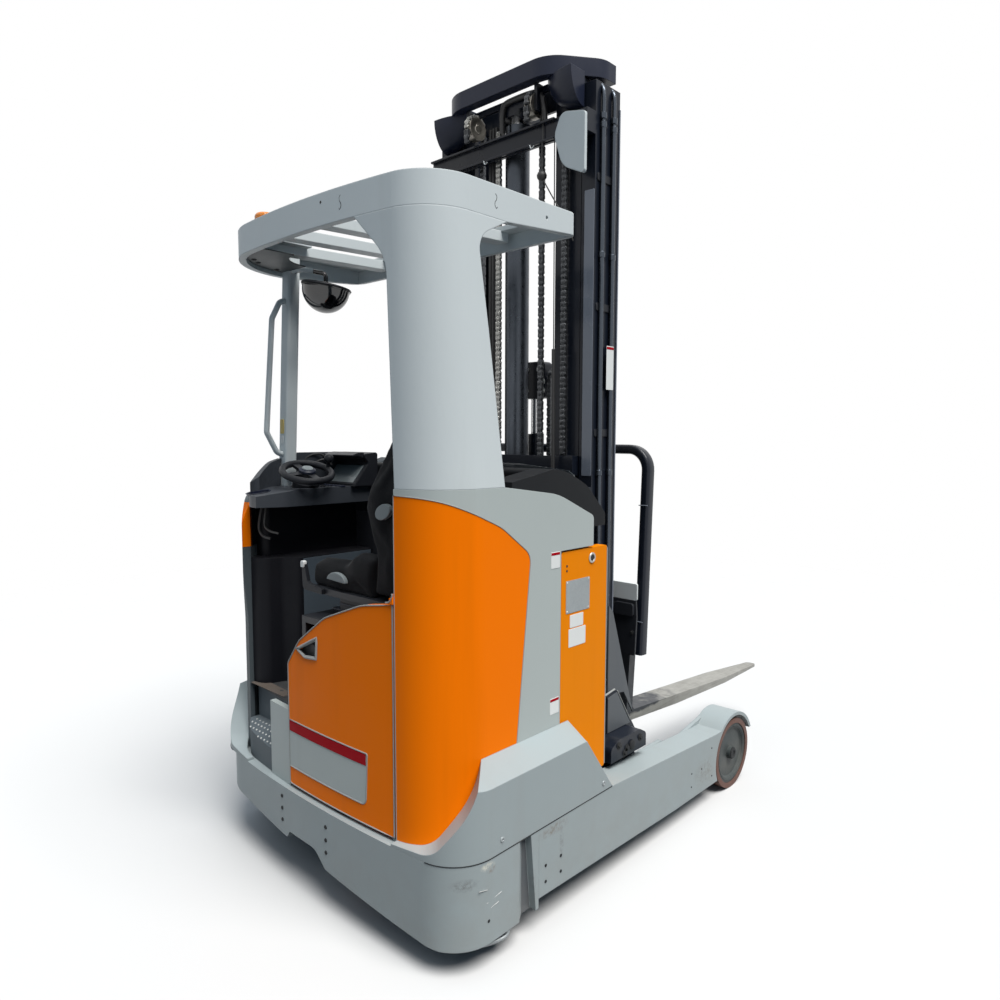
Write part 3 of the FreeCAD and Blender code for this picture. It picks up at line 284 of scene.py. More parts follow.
def rubber(name, colour, rough=0.75, grit=0.4, dusty=0.5):
    """Matt rubber with grit and dust."""
    n = Nodes(name)
    dust = n.ramp(n.noise(11.0, 8, 0.7), 0.35, 0.8, (0.0, dusty))
    base = n.mix(dust, colour, tuple(c * 0.5 + 0.08 for c in colour))
    normal = n.bump(n.noise(260.0, 5, 0.7), grit, 0.0008)
    return n.finish(Base_Color=base, Roughness=rough, Normal=normal)


def fork_look():
    """Worn steel blade below a black painted shank."""
    n = Nodes("fork_steel")
    lines = n.noise(160.0, 4, 0.6, stretch=(1, 0.04, 1))
    grime = n.ramp(n.noise(7.0, 8, 0.7), 0.40, 0.75, (0.0, 0.6))
    steel_colour = n.mix(grime, srgb(150, 149, 143), srgb(84, 80, 74))
    steel_colour = n.mix(n.ramp(lines, 0.4, 0.7, (0.0, 0.3)), steel_colour, srgb(190, 188, 182))
    edge = n.maths("ADD", n.axis("Z"), n.ramp(n.noise(12.0, 6), 0.3, 0.7, (-0.012, 0.012)))
    shank = n.ramp(edge, 0.352, 0.362)
    base = n.mix(shank, steel_colour, srgb(38, 41, 46))
    metal = n.ramp(shank, 0.0, 1.0, (0.45, 0.0))
    normal = n.bump(lines, 0.12, 0.0005, n.rounded(0.0015))
    return n.finish(Base_Color=base, Metallic=metal, Roughness=n.ramp(n.noise(30.0, 6), 0.3, 0.8, (0.38, 0.6)),
                    Normal=normal)


def two_tone(name, colour, mottling, other, mask, rough, gloss):
    """Smooth paint, in another colour where a mask is white; mottling is its scale, amount and darkest shade."""
    n = Nodes(name)
    scale, amount, darkest = mottling
    mottle = n.ramp(n.noise(scale, 5), 0.3, 0.7, (0.0, amount))
    base = n.mix(mask(n), n.mix(mottle, colour, tuple(c * darkest for c in colour)), other)
    normal = n.bump(n.noise(420.0, 2), 0.05, 0.0006, n.rounded(0.002))
    return n.finish(Base_Color=base, Roughness=n.ramp(n.noise(5.0, 6, 0.6), 0.25, 0.8, rough), Normal=normal,
                    Specular_IOR_Level=gloss)


def left_wall_shade_look():
    """Light grey wall with painted shade: its rounded rear edge below the console is painted dark grey."""
    def behind(n):
        """White behind the front line of the painted shade."""
        return n.ramp(n.axis("Y"), AXLE_Y - 1.398, AXLE_Y - 1.402)
    return two_tone("left_wall_painted_shade", LIGHT_GREY, (1.7, 0.12, 0.7), srgb(78, 86, 90), behind, (0.36, 0.52), 0.3)


def side_band_shade_look():
    """Orange band of the left wall, with painted shade: dark grey on its face towards the driver."""
    edge = high("side_panel_left").x

    def inner(n):
        """White on the band's face towards the driver, where the shade is painted."""
        return n.maths("MULTIPLY", n.ramp(n.facing("X"), 0.55, 0.75), n.ramp(n.axis("X"), edge - 0.0015,
                                                                             edge - 0.0035))
    return two_tone("side_band_painted_shade", ORANGE, (2.1, 0.25, 0.72), srgb(30, 33, 38), inner, (0.30, 0.46), 0.06)


ORANGE = srgb(252, 122, 0)
LIGHT_GREY = srgb(174, 182, 180)
CHASSIS_GREY = srgb(152, 162, 164)
PILLAR_GREY = srgb(206, 213, 214)
BLACK = srgb(32, 34, 39)
MAST = srgb(21, 26, 36)

looks = {
    "chassis_grey": paint("chassis_paint", CHASSIS_GREY, rough=0.42, wear=0.7, low_dirt=0.35, edge=0.003, marks=[
        (at(0.634, -1.460, 0.298), (0.02, 0.028, 0.014), srgb(226, 222, 206), 0.9),
        (at(0.634, -1.448, 0.286), (0.02, 0.020, 0.012), srgb(120, 98, 76), 0.7),
        (at(0.620, -1.530, 0.262), (0.05, 0.050, 0.022), srgb(92, 90, 88), 0.6),
        (at(0.634, -1.180, 0.292), (0.02, 0.085, 0.020), srgb(116, 100, 84), 0.7),
        (at(0.634, -1.145, 0.235), (0.02, 0.012, 0.060), srgb(100, 96, 92), 0.5),
        (at(0.634, -1.300, 0.150), (0.03, 0.050, 0.080), srgb(112, 110, 106), 0.5),
        (at(0.634, -0.250, 0.150), (0.02, 0.100, 0.060), srgb(120, 112, 100), 0.5)]),
    "body_grey": paint("light_grey_paint", LIGHT_GREY, rough=0.40, wear=0.2),
    "pillar_grey": paint("pillar_paint", PILLAR_GREY, rough=0.45, grain=0.10, wear=0.1, edge=0.004, top_dust=0.8),
    "body_orange": paint("orange_paint", ORANGE, rough=0.34, wear=0.25, under=LIGHT_GREY, dirt=srgb(150, 70, 8),
                         edge=0.002, gloss=0.06),
    "black_metal": paint("black_paint", BLACK, rough=0.45, wear=0.5, edge=0.002),
    "mast_black": paint("mast_paint", MAST, rough=0.30, wear=0.6, under=srgb(90, 95, 100), edge=0.002, coat=0.12,
                        gloss=0.2),
    "black_plastic": plastic("black_plastic", BLACK, rough=0.42, dust=0.07, gloss=0.15),
    "mat_rubber": rubber("floor_mat", srgb(30, 31, 33)),
    "seat_fabric": fabric("seat_cloth", srgb(17, 19, 23)),
    "battery_case": paint("battery_case_paint", srgb(50, 53, 56), rough=0.6, wear=0.4),
    "tyre_brown": rubber("tyre_compound", srgb(92, 58, 46), rough=0.62, grit=0.5),
    "hub_dark": paint("hub_paint", srgb(56, 63, 64), rough=0.5, wear=0.4, low_dirt=0.4),
    "chrome_rod": steel("hard_chrome", (0.78, 0.79, 0.80), rough=0.14, scratch=(1, 1, 0.02), dirt=0.1),
    "fork_steel": fork_look(),
    "sheave_steel": steel("sheave_steel", srgb(150, 146, 138), rough=0.4, dirt=0.7),
}


def beacon_lens():
    """Ribbed amber lens."""
    n = Nodes("amber_lens")
    ribs = n.feed(n.add("ShaderNodeTexWave", bands_direction="Z"), Vector=n.coords, Scale=60.0)
    normal = n.bump(ribs.outputs["Fac"], 0.4, 0.001)
    base = n.mix(n.ramp(n.noise(20.0), 0.3, 0.7, (0.0, 0.4)), srgb(235, 140, 20), srgb(190, 95, 10))
    return n.finish(Base_Color=base, Roughness=0.18, Normal=normal, Transmission_Weight=0.25, IOR=1.49)


def smoked():
    """Smoked clear plastic with a little dust."""
    n = Nodes("smoked_screen")
    dust = n.ramp(n.noise(12.0, 6), 0.45, 0.8, (0.0, 0.35))
    roughness = n.ramp(dust, 0.0, 0.35, (0.04, 0.3))
    base = n.mix(dust, srgb(96, 104, 110), srgb(120, 124, 126))
    return n.finish(Base_Color=base, Roughness=roughness, Transmission_Weight=0.75, IOR=1.45)


looks["beacon_amber"] = beacon_lens()
looks["smoked"] = smoked()

for part in frame["record"]["subparts"]:
    slots = frame["nodes"][part["node"]].data.materials
    slots.clear()
    slots.append(looks[part["material_slot"]])


# ---------------------------------------------------------------- shape tools
# Shapes are built in millimetres, measured along the truck from the load wheel axle, as in the CAD source.
TO_WORLD = Matrix.Translation((0, AXLE_Y, 0)) @ Matrix.Scale(0.001, 4)
SHARP = math.radians(35)              # edges sharper than this are shaded as edges
SIDES = ((1, "right"), (-1, "left"))  # sign of x and the name of that side


def local(point):
    """Millimetres from the load wheel axle for a point of the frame."""
    return TO_WORLD.inverted() @ point


def piece(name, shape, look, body, bevel=0.0):
    """Turn a shape into a named object of the truck that rides on a body."""
    bmesh.ops.recalc_face_normals(shape, faces=shape.faces)
    shape.transform(TO_WORLD)
    mesh = bpy.data.meshes.new(name)
    shape.to_mesh(mesh)
    shape.free()
    mesh.shade_smooth()
    mesh.set_sharp_from_angle(angle=SHARP)
    mesh.materials.append(looks[look])
    made = bpy.data.objects.new(name, mesh)
    bpy.context.scene.collection.objects.link(made)
    if bevel:
        rounding = made.modifiers.new("rounding", "BEVEL")
        rounding.width = bevel * 0.001
        rounding.segments = 2
        rounding.limit_method = "ANGLE"
        rounding.angle_limit = math.radians(40)
        rounding.harden_normals = True
    if body:
        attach(made, body)
    return made


def lift(u, v, w, plane):
    """Point of a drawing plane: u, v on it and w across it."""
    return {"xy": (u, v, w), "xz": (u, w, v), "yz": (w, u, v)}[plane]


def turns(sweep, steps, closed=False):
    """Angles from 0 to a sweep in even steps; a closed one leaves out its end."""
    return [sweep * k / steps for k in range(steps if closed else steps + 1)]


def circle(centre, across, other, radius, angles):
    """Points round a centre at these angles from one direction towards another."""
    return [centre + (across * math.cos(t) + other * math.sin(t)) * radius for t in angles]


def skin(shape, outlines, closed=False):
    """Join like outlines one after another, and close both ends unless the last one joins the first."""
    rings = [[shape.verts.new(point) for point in outline] for outline in outlines]
    pairs = list(zip(rings, rings[1:]))
    if closed:
        pairs.append((rings[-1], rings[0]))
    else:
        shape.faces.new(rings[0])
        shape.faces.new(rings[-1])
    for a, b in pairs:
        for k in range(len(a)):
            j = (k + 1) % len(a)
            shape.faces.new((a[k], a[j], b[j], b[k]))


def prism(shape, outline, plane, start, end):
    """Outline drawn on a plane, thickened between two depths."""
    skin(shape, [[lift(u, v, depth, plane) for u, v in outline] for depth in (start, end)])


def rounded_outline(u, v, radius, steps=5):
    """Rectangle with round corners between two u and two v."""
    points = []
    rounds = ((u[1] - radius, v[1] - radius, 0), (u[0] + radius, v[1] - radius, 90),
              (u[0] + radius, v[0] + radius, 180), (u[1] - radius, v[0] + radius, 270))
    for cu, cv, start in rounds:
        for k in range(steps + 1):
            angle = math.radians(start + 90 * k / steps)
            points.append((cu + radius * math.cos(angle), cv + radius * math.sin(angle)))
    return points


def plate(shape, u, v, radius, plane, start, end):
    """Plate with round corners on a plane, between two depths."""
    prism(shape, rounded_outline(u, v, radius), plane, start, end)


def lathe(shape, centre, axis, profile, sides=24):
    """Profile of (radius, height) pairs turned about an axis; a radius of 0 closes an end."""
    axis = Vector(axis).normalized()
    side = axis.orthogonal().normalized()
    other = axis.cross(side)
    centre = Vector(centre)
    rings = []
    for radius, height in profile:
        if radius == 0:
            rings.append([shape.verts.new(centre + axis * height)])
            continue
        round_it = circle(centre + axis * height, side, other, radius, turns(2 * math.pi, sides, closed=True))
        rings.append([shape.verts.new(point) for point in round_it])
    for a, b in zip(rings, rings[1:]):
        for k in range(sides):
            unique = list(dict.fromkeys((a[k % len(a)], a[(k + 1) % len(a)], b[(k + 1) % len(b)], b[k % len(b)])))
            if len(unique) > 2:
                shape.faces.new(unique)


def smooth_path(points, steps=6):
    """Curve through the points (Catmull-Rom)."""
    points = [Vector(p) for p in points]
    padded = [points[0] * 2 - points[1], *points, points[-1] * 2 - points[-2]]
    path = []
    for i in range(1, len(padded) - 2):
        a, b, c, d = padded[i - 1:i + 3]
        for k in range(steps):
            t = k / steps
            path.append(0.5 * ((2 * b) + (c - a) * t + (2 * a - 5 * b + 4 * c - d) * t ** 2
                               + (3 * b - a - 3 * c + d) * t ** 3))
    path.append(points[-1])
    return path


def tube(shape, path, radius, sides=10, closed=False):
    """Round bar along a path of points."""
    path = [Vector(p) for p in path]
    count = len(path)
    normal = None
    rings = []
    for i, point in enumerate(path):
        before = path[i - 1] if i or closed else path[i]
        after = path[(i + 1) % count] if i < count - 1 or closed else path[i]
        tangent = (after - before).normalized()
        normal = tangent.orthogonal() if normal is None else normal - tangent * normal.dot(tangent)
        normal.normalize()
        other = tangent.cross(normal)
        rings.append(circle(point, normal, other, radius, turns(2 * math.pi, sides, closed=True)))
    skin(shape, rings, closed)


TREES = {}


def touch(node, start, toward):
    """Where a line from a point first meets a CAD node, and the surface's normal there."""
    if node not in TREES:
        mesh = frame["nodes"][node].data
        TREES[node] = BVHTree.FromPolygons([v.co for v in mesh.vertices], [f.vertices for f in mesh.polygons])
    place, normal, _, _ = TREES[node].ray_cast(TO_WORLD @ Vector(start), Vector(toward).normalized())
    return (local(place), normal) if place else (Vector(start), -Vector(toward))


def rim_lines(node, facing, sharpness=0.6):
    """Lines of sharp edges between a face that looks outwards, as facing says, and one that doesn't."""
    mesh = bmesh.new()
    mesh.from_mesh(frame["nodes"][node].data)
    bmesh.ops.remove_doubles(mesh, verts=mesh.verts, dist=1e-5)
    links = {}
    for edge in mesh.edges:
        if len(edge.link_faces) != 2 or edge.calc_face_angle(0.0) < sharpness:
            continue
        centre = (edge.verts[0].co + edge.verts[1].co) / 2
        out = sorted(facing(face.normal, centre) for face in edge.link_faces)
        if out[1] > 0.75 and out[0] < 0.6:
            for a, b in (edge.verts, reversed(edge.verts)):
                links.setdefault(a.index, []).append(b.index)
    places = {v.index: local(v.co) for v in mesh.verts}
    mesh.free()
    lines = []
    while links:
        ends = [k for k, v in links.items() if len(v) == 1]
        here = ends[0] if ends else next(iter(links))
        line = [here]
        while links.get(here):
            after = links[here].pop()
            links[after].remove(here)
            line.append(after)
            here = after
        links = {k: v for k, v in links.items() if v}
        closed = line[0] == line[-1]
        lines.append(([places[k] for k in (line[:-1] if closed else line)], closed))
    return lines


def rearwards(normal, centre):
    """How far a face looks to the rear."""
    return -normal.y


def outwards(normal, centre):
    """How far a face looks away from the middle of the body."""
    away = Vector((centre.x, centre.y + 0.75, 0)) if centre.y < -0.75 else Vector((centre.x, 0, 0))
    return normal.dot(away.normalized())


def bead(name, node, facing, look, body, radius):
    """Thin bead along the outer rim of a panel."""
    shape = bmesh.new()
    for line, closed in rim_lines(node, facing):
        thinned = [p for i, p in enumerate(line) if i in (0, len(line) - 1) or (p - line[i - 1]).length > 0.3]
        if len(thinned) > 2:
            tube(shape, thinned, radius, 6, closed)
    piece(name, shape, look, body)


def bolt(shape, centre, normal, radius, head=0.6):
    """Hexagon head on a washer."""
    lathe(shape, centre, normal, [(radius * 1.6, 0), (radius * 1.6, radius * 0.25), (0, radius * 0.25)], 20)
    lathe(shape, centre, normal, [(radius, radius * 0.2), (radius, radius * head),
                                  (radius * 0.88, radius * (head + 0.12)),
                                  (0, radius * (head + 0.12))], 6)


def screw(shape, centre, normal, radius):
    """Domed head with a dished socket."""
    lathe(shape, centre, normal, [(radius, 0), (radius * 0.94, radius * 0.25), (radius * 0.62, radius * 0.42),
                                  (radius * 0.42, radius * 0.36), (radius * 0.36, radius * 0.1), (0, radius * 0.05)],
          18)


def chain(shape, path, axis, pitch=19.05):
    """Leaf chain along a path: plates laced on pins that lie along the axis."""
    axis = Vector(axis)
    points, left = [Vector(path[0])], pitch
    for a, b in zip(path, path[1:]):
        a, b = Vector(a), Vector(b)
        span, at_ = (b - a).length, 0.0
        while span - at_ >= left:
            at_ += left
            left = pitch
            points.append(a.lerp(b, at_ / span))
        left -= span - at_
    for i, (a, b) in enumerate(zip(points, points[1:])):
        along = (b - a).normalized()
        across = axis.cross(along)
        for offset in ((-8.5, -3, 3, 8.5) if i % 2 else (-5.8, 0, 5.8)):
            plate_link(shape, a + axis * (offset - 1.1), b + axis * (offset - 1.1), along, across, axis * 2.2)
        tube(shape, (a - axis * 11, a + axis * 11), 3.2, 8)


def plate_link(shape, a, b, along, across, thick):
    """One waisted plate of a chain from pin a to pin b."""
    outline = []
    for centre, start in ((b, -70), (a, 110)):
        for k in range(5):
            t = math.radians(start + 35 * k)
            outline.append(centre + (along * math.cos(t) + across * math.sin(t)) * 8.2)
        outline.append((a + b) / 2 + across * (6.0 if centre is b else -6.0))
    skin(shape, [outline, [p + thick for p in outline]])


# ---------------------------------------------------------------- looks of the added pieces
looks.update({
    "pale_edge": paint("pale_edge", srgb(150, 152, 150), rough=0.45, wear=0.3),
    "panel_gap": paint("panel_gap", srgb(30, 32, 34), rough=0.7, wear=0.0),
    "sticker": paint("blank_sticker", srgb(226, 228, 226), rough=0.5, wear=0.15, under=srgb(190, 190, 186)),
    "amber_sticker": paint("blank_amber_sticker", srgb(214, 190, 120), rough=0.5, wear=0.3),
    "red_stripe": paint("red_stripe", srgb(164, 10, 26), rough=0.5, wear=0.0, dirt=srgb(90, 14, 20), gloss=0.06),
    "plate_grey": steel("blank_plate", srgb(150, 156, 158), rough=0.38, dirt=0.25, metal=0.5),
    "zinc": steel("zinc_bolt", srgb(176, 176, 172), rough=0.35, dirt=0.5),
    "dark_socket": paint("dark_socket", srgb(26, 28, 30), rough=0.6, wear=0.1),
    "chain": steel("oiled_chain", srgb(92, 94, 97), rough=0.36, dirt=0.45, metal=0.85),
    # Lighter grey copy of the chain steel, for the chain over the left sheave and the guide chain.
    "bright_chain": steel("light_grey_chain", srgb(176, 176, 172), rough=0.3, dirt=0.35, metal=0.85),
    "bare_plate": paint("bare_plate", srgb(206, 210, 210), rough=0.4, wear=0.5, under=srgb(120, 120, 118)),
    "barrel": steel("barrel_paint", srgb(70, 75, 82), rough=0.3, scratch=(1, 1, 0.02), dirt=0.3, metal=0.75),
    "hose": rubber("hose_rubber", srgb(14, 15, 17), rough=0.5, grit=0.15, dusty=0.12),
    "screen": plastic("display_glass", srgb(112, 120, 122), rough=0.16, grain=0.02, edge=0.001, dust=0.15),
    "seat_insert": plastic("seat_insert", srgb(132, 140, 142), rough=0.5),
    "pipe_black": steel("black_pipe", srgb(74, 80, 88), rough=0.2, scratch=(1, 1, 0.02), dirt=0.2, metal=0.9),
    "stud": steel("worn_stud", srgb(190, 192, 190), rough=0.35, dirt=0.2, metal=0.6),
    "gusset_grey": paint("gusset_paint", srgb(84, 88, 92), rough=0.45, wear=0.4, low_dirt=0.3),
    # Pale satin paint: the bands on the backrest hoop, and the painted reflection strip and painted edge highlight on
    # the mast.
    "pale_bands_and_reflections": paint("pale_bands_and_reflections", srgb(120, 126, 137), rough=0.22, wear=0.2, coat=0.3),
    "cover_plastic": plastic("mast_cover_plastic", srgb(30, 36, 54), rough=0.34, dust=0.14),
    "mirror_bowl": plastic("mirror_bowl", srgb(13, 14, 18), rough=0.06, grain=0.0, edge=0.001, dust=0.05, gloss=0.9),
    "step_grey": paint("step_paint", srgb(120, 130, 138), rough=0.5, wear=0.6, low_dirt=0.3),
    "cab_wall": plastic("cab_wall_plastic", srgb(74, 84, 93), rough=0.6, grain=0.2),
    "worn_mat": rubber("worn_mat", srgb(78, 68, 60), rough=0.85, grit=0.5),
    "under_plate": paint("under_plate", srgb(50, 56, 58), rough=0.5, wear=0.3),
    "battery_orange": paint("battery_orange", srgb(238, 134, 0), rough=0.36, wear=0.3, under=LIGHT_GREY,
                                dirt=srgb(140, 76, 10), gloss=0.06),
    "console_plastic": plastic("console_plastic", srgb(60, 64, 70), rough=0.45, dust=0.05, gloss=0.2),
    "base_plastic": plastic("base_plastic", srgb(17, 18, 23), rough=0.5, dust=0.03, gloss=0.12),
    "hood_plastic": plastic("hood_plastic", srgb(21, 23, 26), rough=0.45, dust=0.02, gloss=0.12),
    "tread_grey": paint("tread_paint", srgb(92, 100, 105), rough=0.55, wear=0.7, low_dirt=0.5, gloss=0.15),
    "left_wall": left_wall_shade_look(),
    "side_band": side_band_shade_look(),
})
for node, look in {"console": "console_plastic", "console_base": "base_plastic", "battery_hood": "hood_plastic",
                   "body_shell_left": "left_wall", "side_panel_left": "side_band", "battery_panels": "battery_orange",
                   "entry_step": "tread_grey", "lift_cylinder": "barrel", "mast_cover": "cover_plastic",
                   "dome_mirror": "mirror_bowl"}.items():
    frame["nodes"][node].data.materials[0] = looks[look]


# ---------------------------------------------------------------- rear door and body
RIGHT = local(high("battery_panels")).x            # outer face of the right battery panel
REAR = local(low("rear_door")).y
SIDE = local(high("chassis_frame")).x
BODY_SIDE = local(high("body_shell_right")).x


def on_rear(shape, node, outline_xz, proud, steps=24):
    """Thin plate that follows the bulged rear face of a node; the outline is a rectangle (x0, x1, z0, z1)."""
    x0, x1, z0, z1 = outline_xz
    rings = []
    for k in range(steps + 1):
        x = x0 + (x1 - x0) * k / steps
        y = touch(node, (x, REAR - 200, (z0 + z1) / 2), (0, 1, 0))[0].y
        rings.append([(x, y - proud, z0), (x, y - proud, z1), (x, y + 0.3, z1), (x, y + 0.3, z0)])
    skin(shape, rings)


def door_details():
    """Beads, stripe, grip and inner stops of the rear door."""
    bead("door_edge", "rear_door", rearwards, "pale_edge", "rear_door", 2.4)
    bead("door_plate_edge", "door_plate", rearwards, "pale_edge", "rear_door", 2.0)
    plate_low, plate_high = local(low("door_plate")), local(high("door_plate"))
    shape = bmesh.new()
    on_rear(shape, "door_plate", (plate_low.x + 3, plate_high.x - 7, plate_high.z - 36, plate_high.z - 3), 1.6)
    piece("door_stripe", shape, "red_stripe", "rear_door")
    depth = REAR + 15
    shape = bmesh.new()
    cup = [(-62, 780), (-21, 767), (35, 773), (39, 825)]
    prism(shape, cup, "xz", depth - 1.0, depth + 0.5)
    lathe(shape, (8, depth - 2, 795), (0, -1, 0), [(12, 0), (11, 3), (0, 3)], 20)
    for (xa, za), (xb, zb) in zip(cup, [*cup[1:], cup[0]]):
        inward = Vector((-(zb - za), 0, xb - xa)).normalized() * 0.8
        prism(shape, [(xa, za), (xb, zb), (xb + inward.x, zb + inward.z), (xa + inward.x, za + inward.z)], "xz",
              REAR + 1.5, depth)
    piece("door_grip_liner", shape, "dark_socket", "rear_door")
    shape = bmesh.new()
    rim = [(-66, 780), (-21, 762), (40, 768), (45, 834)]
    line = []
    for i, (x, z) in enumerate(rim):
        after = rim[(i + 1) % 4]
        line += [(x + (after[0] - x) * k / 6, REAR, z + (after[1] - z) * k / 6) for k in range(6)]
    tube(shape, line, 4.6, 8, closed=True)
    piece("door_grip_rim", shape, "pale_edge", "rear_door")
    shape = bmesh.new()
    for z in (local(low("rear_door")).z + 60, local(high("rear_door")).z - 80):
        plate(shape, (330, 360), (z, z + 20), 3, "xz", REAR + 29, REAR + 37)
    piece("door_inner_stops", shape, "hose", "rear_door")


def body_details():
    """Beads and stickers of the body's right side, and the fillet above the door's corner."""
    bead("corner_panel_edge", "corner_panel", outwards, "pale_edge", "chassis", 1.6)
    shape = bmesh.new()
    low_z = local(low("body_shell_right")).z
    for z in (low_z + 725, low_z + 275):
        plate(shape, (-1113, -1070), (z, z + 50), 3, "yz", BODY_SIDE - 0.5, BODY_SIDE + 0.6)
    piece("body_stickers", shape, "sticker", "chassis")
    shape = bmesh.new()
    for z in (low_z + 725, low_z + 275):
        prism(shape, [(-1112, z + 40), (-1071, z + 40), (-1071, z + 48), (-1112, z + 48)], "yz", BODY_SIDE,
              BODY_SIDE + 0.9)
    piece("body_sticker_bands", shape, "red_stripe", "chassis")
    door_top, hinge_x = local(high("rear_door")).z, local(high("rear_door")).x
    shape = bmesh.new()
    arc = [(hinge_x - 22 + 28 * math.sin(t), door_top + 32 - 28 * math.cos(t)) for t in turns(math.pi / 2, 8)]
    prism(shape, [*arc, (hinge_x + 7, door_top + 32), (hinge_x + 7, door_top + 3), (hinge_x - 22, door_top + 3)], "xz",
          REAR + 13, REAR + 18)
    piece("door_corner_fillet", shape, "body_orange", "chassis")
    shape = bmesh.new()
    tube(shape, [(x, REAR + 14, z) for x, z in arc], 2.6, 8)
    piece("door_corner_bead", shape, "pale_edge", "chassis")
    battery_details()


def battery_details():
    """Data plate, stickers, lock, lips and vents of the battery panels."""
    top = local(high("battery_panels")).z
    shape = bmesh.new()
    plate(shape, (-1034, -912), (top - 195, top - 92), 4, "yz", RIGHT - 0.5, RIGHT + 1.2)
    piece("data_plate", shape, "plate_grey", "chassis", bevel=0.3)
    shape = bmesh.new()
    for y in (-1028, -918):
        for z in (top - 189, top - 98):
            lathe(shape, (RIGHT + 1, y, z), (1, 0, 0), [(3.2, 0), (2.4, 1.4), (0, 1.8)], 12)
    piece("data_plate_rivets", shape, "zinc", "chassis")
    shape = bmesh.new()
    plate(shape, (-1013, -944), (top - 243, top - 202), 3, "yz", RIGHT - 0.5, RIGHT + 0.7)
    plate(shape, (-1019, -931), (top - 304, top - 246), 3, "yz", RIGHT - 0.5, RIGHT + 0.7)
    piece("battery_stickers", shape, "sticker", "chassis")
    lock = (RIGHT, -901, top - 33)
    shape = bmesh.new()
    lathe(shape, lock, (1, 0, 0), [(17, -0.5), (17, 2.5), (15.5, 4), (11, 4), (10, 1), (0, 1)], 32)
    piece("battery_lock_ring", shape, "zinc", "chassis")
    shape = bmesh.new()
    lathe(shape, (RIGHT + 0.8, *lock[1:]), (1, 0, 0), [(9.5, 0), (9.5, 2.2), (7.5, 2.8), (0, 2.8)], 24)
    for drop in (45, 60):
        lathe(shape, (RIGHT - 0.4, -1030, top - drop), (1, 0, 0), [(4, 0), (4, 1), (0, 1)], 12)
    piece("battery_lock_core", shape, "dark_socket", "chassis")
    front = local(high("battery_panels")).y
    for side, name in SIDES:
        shape = bmesh.new()
        prism(shape, [(front - 3, 345), (front + 1.5, 348), (front + 1.5, top - 12), (front - 3, top - 5)], "yz",
              side * (RIGHT - 25), side * (RIGHT + 0.8))
        piece("battery_panel_lip_" + name, shape, "pale_edge", "chassis")
    shape = bmesh.new()
    for y in (-1020, -960, -900, -840):
        plate(shape, (y, y + 34), (top - 260, top - 246), 6, "yz", -RIGHT - 0.8, -RIGHT + 0.5)
        plate(shape, (y, y + 34), (top - 230, top - 216), 6, "yz", -RIGHT - 0.8, -RIGHT + 0.5)
    piece("battery_vents_left", shape, "panel_gap", "chassis")


def seam_line(name, node, facing, keep, look, radius):
    """Fine line laid along those rim lines of a node that pass a test on their points."""
    shape = bmesh.new()
    for line, closed in rim_lines(node, facing):
        run = []
        for point in [*line, None]:
            if point is not None and keep(point):
                if not run or (point - run[-1]).length > 2:
                    run.append(point)
            elif run:
                if len(run) > 2:
                    tube(shape, run, radius, 6)
                run = []
    piece(name, shape, look, "chassis")


def chassis_details():
    """Screws, painted shadow lines in the fender seams, painted shadow in the recess, skid bar and scratches of the
    chassis.
    """
    shape = bmesh.new()
    for x, heights in ((-147, (281, 241, 202)), (99, (267, 226, 187))):
        for z in heights:
            screw(shape, *touch("chassis_frame", (x, REAR - 300, z), (0, 1, 0)), 6.5)
    for y in (-1219, -1148):
        for z in (196, 147):
            for side in (1, -1):
                screw(shape, (side * SIDE, y, z), (side, 0, 0), 5)
    for y, z in ((-353, 175), (-353, 123), (-275, 168), (-196, 226), (-190, 112)):
        for side in (1, -1):
            screw(shape, (side * SIDE, y, z), (side, 0, 0), 3.2)
    lathe(shape, (SIDE - 0.6, -1457, 144), (1, 0, 0), [(5, 0), (4, 1), (0, 1)], 12)
    piece("chassis_screws", shape, "dark_socket", "chassis")
    shape = bmesh.new()
    for y, z in ((-1406, 352), (-931, 343)):
        for side in (1, -1):
            screw(shape, (side * SIDE, y, z), (side, 0, 0), 8)
    piece("fender_screws", shape, "plate_grey", "chassis")
    under = local(low("chassis_frame")).z
    shape = bmesh.new()
    bar = [(626, -1372, under + 6), (626, -1382, under - 18), (606, -1440, under - 23), (560, -1496, under - 23),
           (524, -1522, under - 18), (512, -1524, under + 6)]
    tube(shape, smooth_path(bar, 4), 6, 10)
    piece("skid_bar", shape, "plate_grey", "chassis")
    # Painted shadow: dark lines along the fenders' lower rims stand in for the shade in the gap between fender and
    # chassis.
    for name in ("right", "left"):
        foot = local(low("fender_" + name)).z + 14
        seam_line("fender_seam_shadow_" + name, "fender_" + name, outwards,
                  lambda p: p.z < foot and abs(p.x) > 400, "panel_gap", 1.5)
    # Painted shadow: a dark grey sheet in the recess of each chassis side stands in for the shade inside it.
    shape = bmesh.new()
    for side in (1, -1):
        prism(shape, [(-1328, under + 2), (-1328, 308), (-1288, 308), (-1266, under + 2)], "yz",
              side * (SIDE - 22.2), side * (SIDE - 21.2))
    piece("recess_shadow", shape, "gusset_grey", "chassis")
    shape = bmesh.new()
    for a, b in (((631, -1492, 240), (634, -1462, 234)), ((633, -1465, 196), (635, -1408, 205)),
                 ((634, -1450, 178), (635, -1420, 182))):
        tube(shape, [a, b], 1.2, 6)
    piece("chassis_scratches", shape, "stud", "chassis")


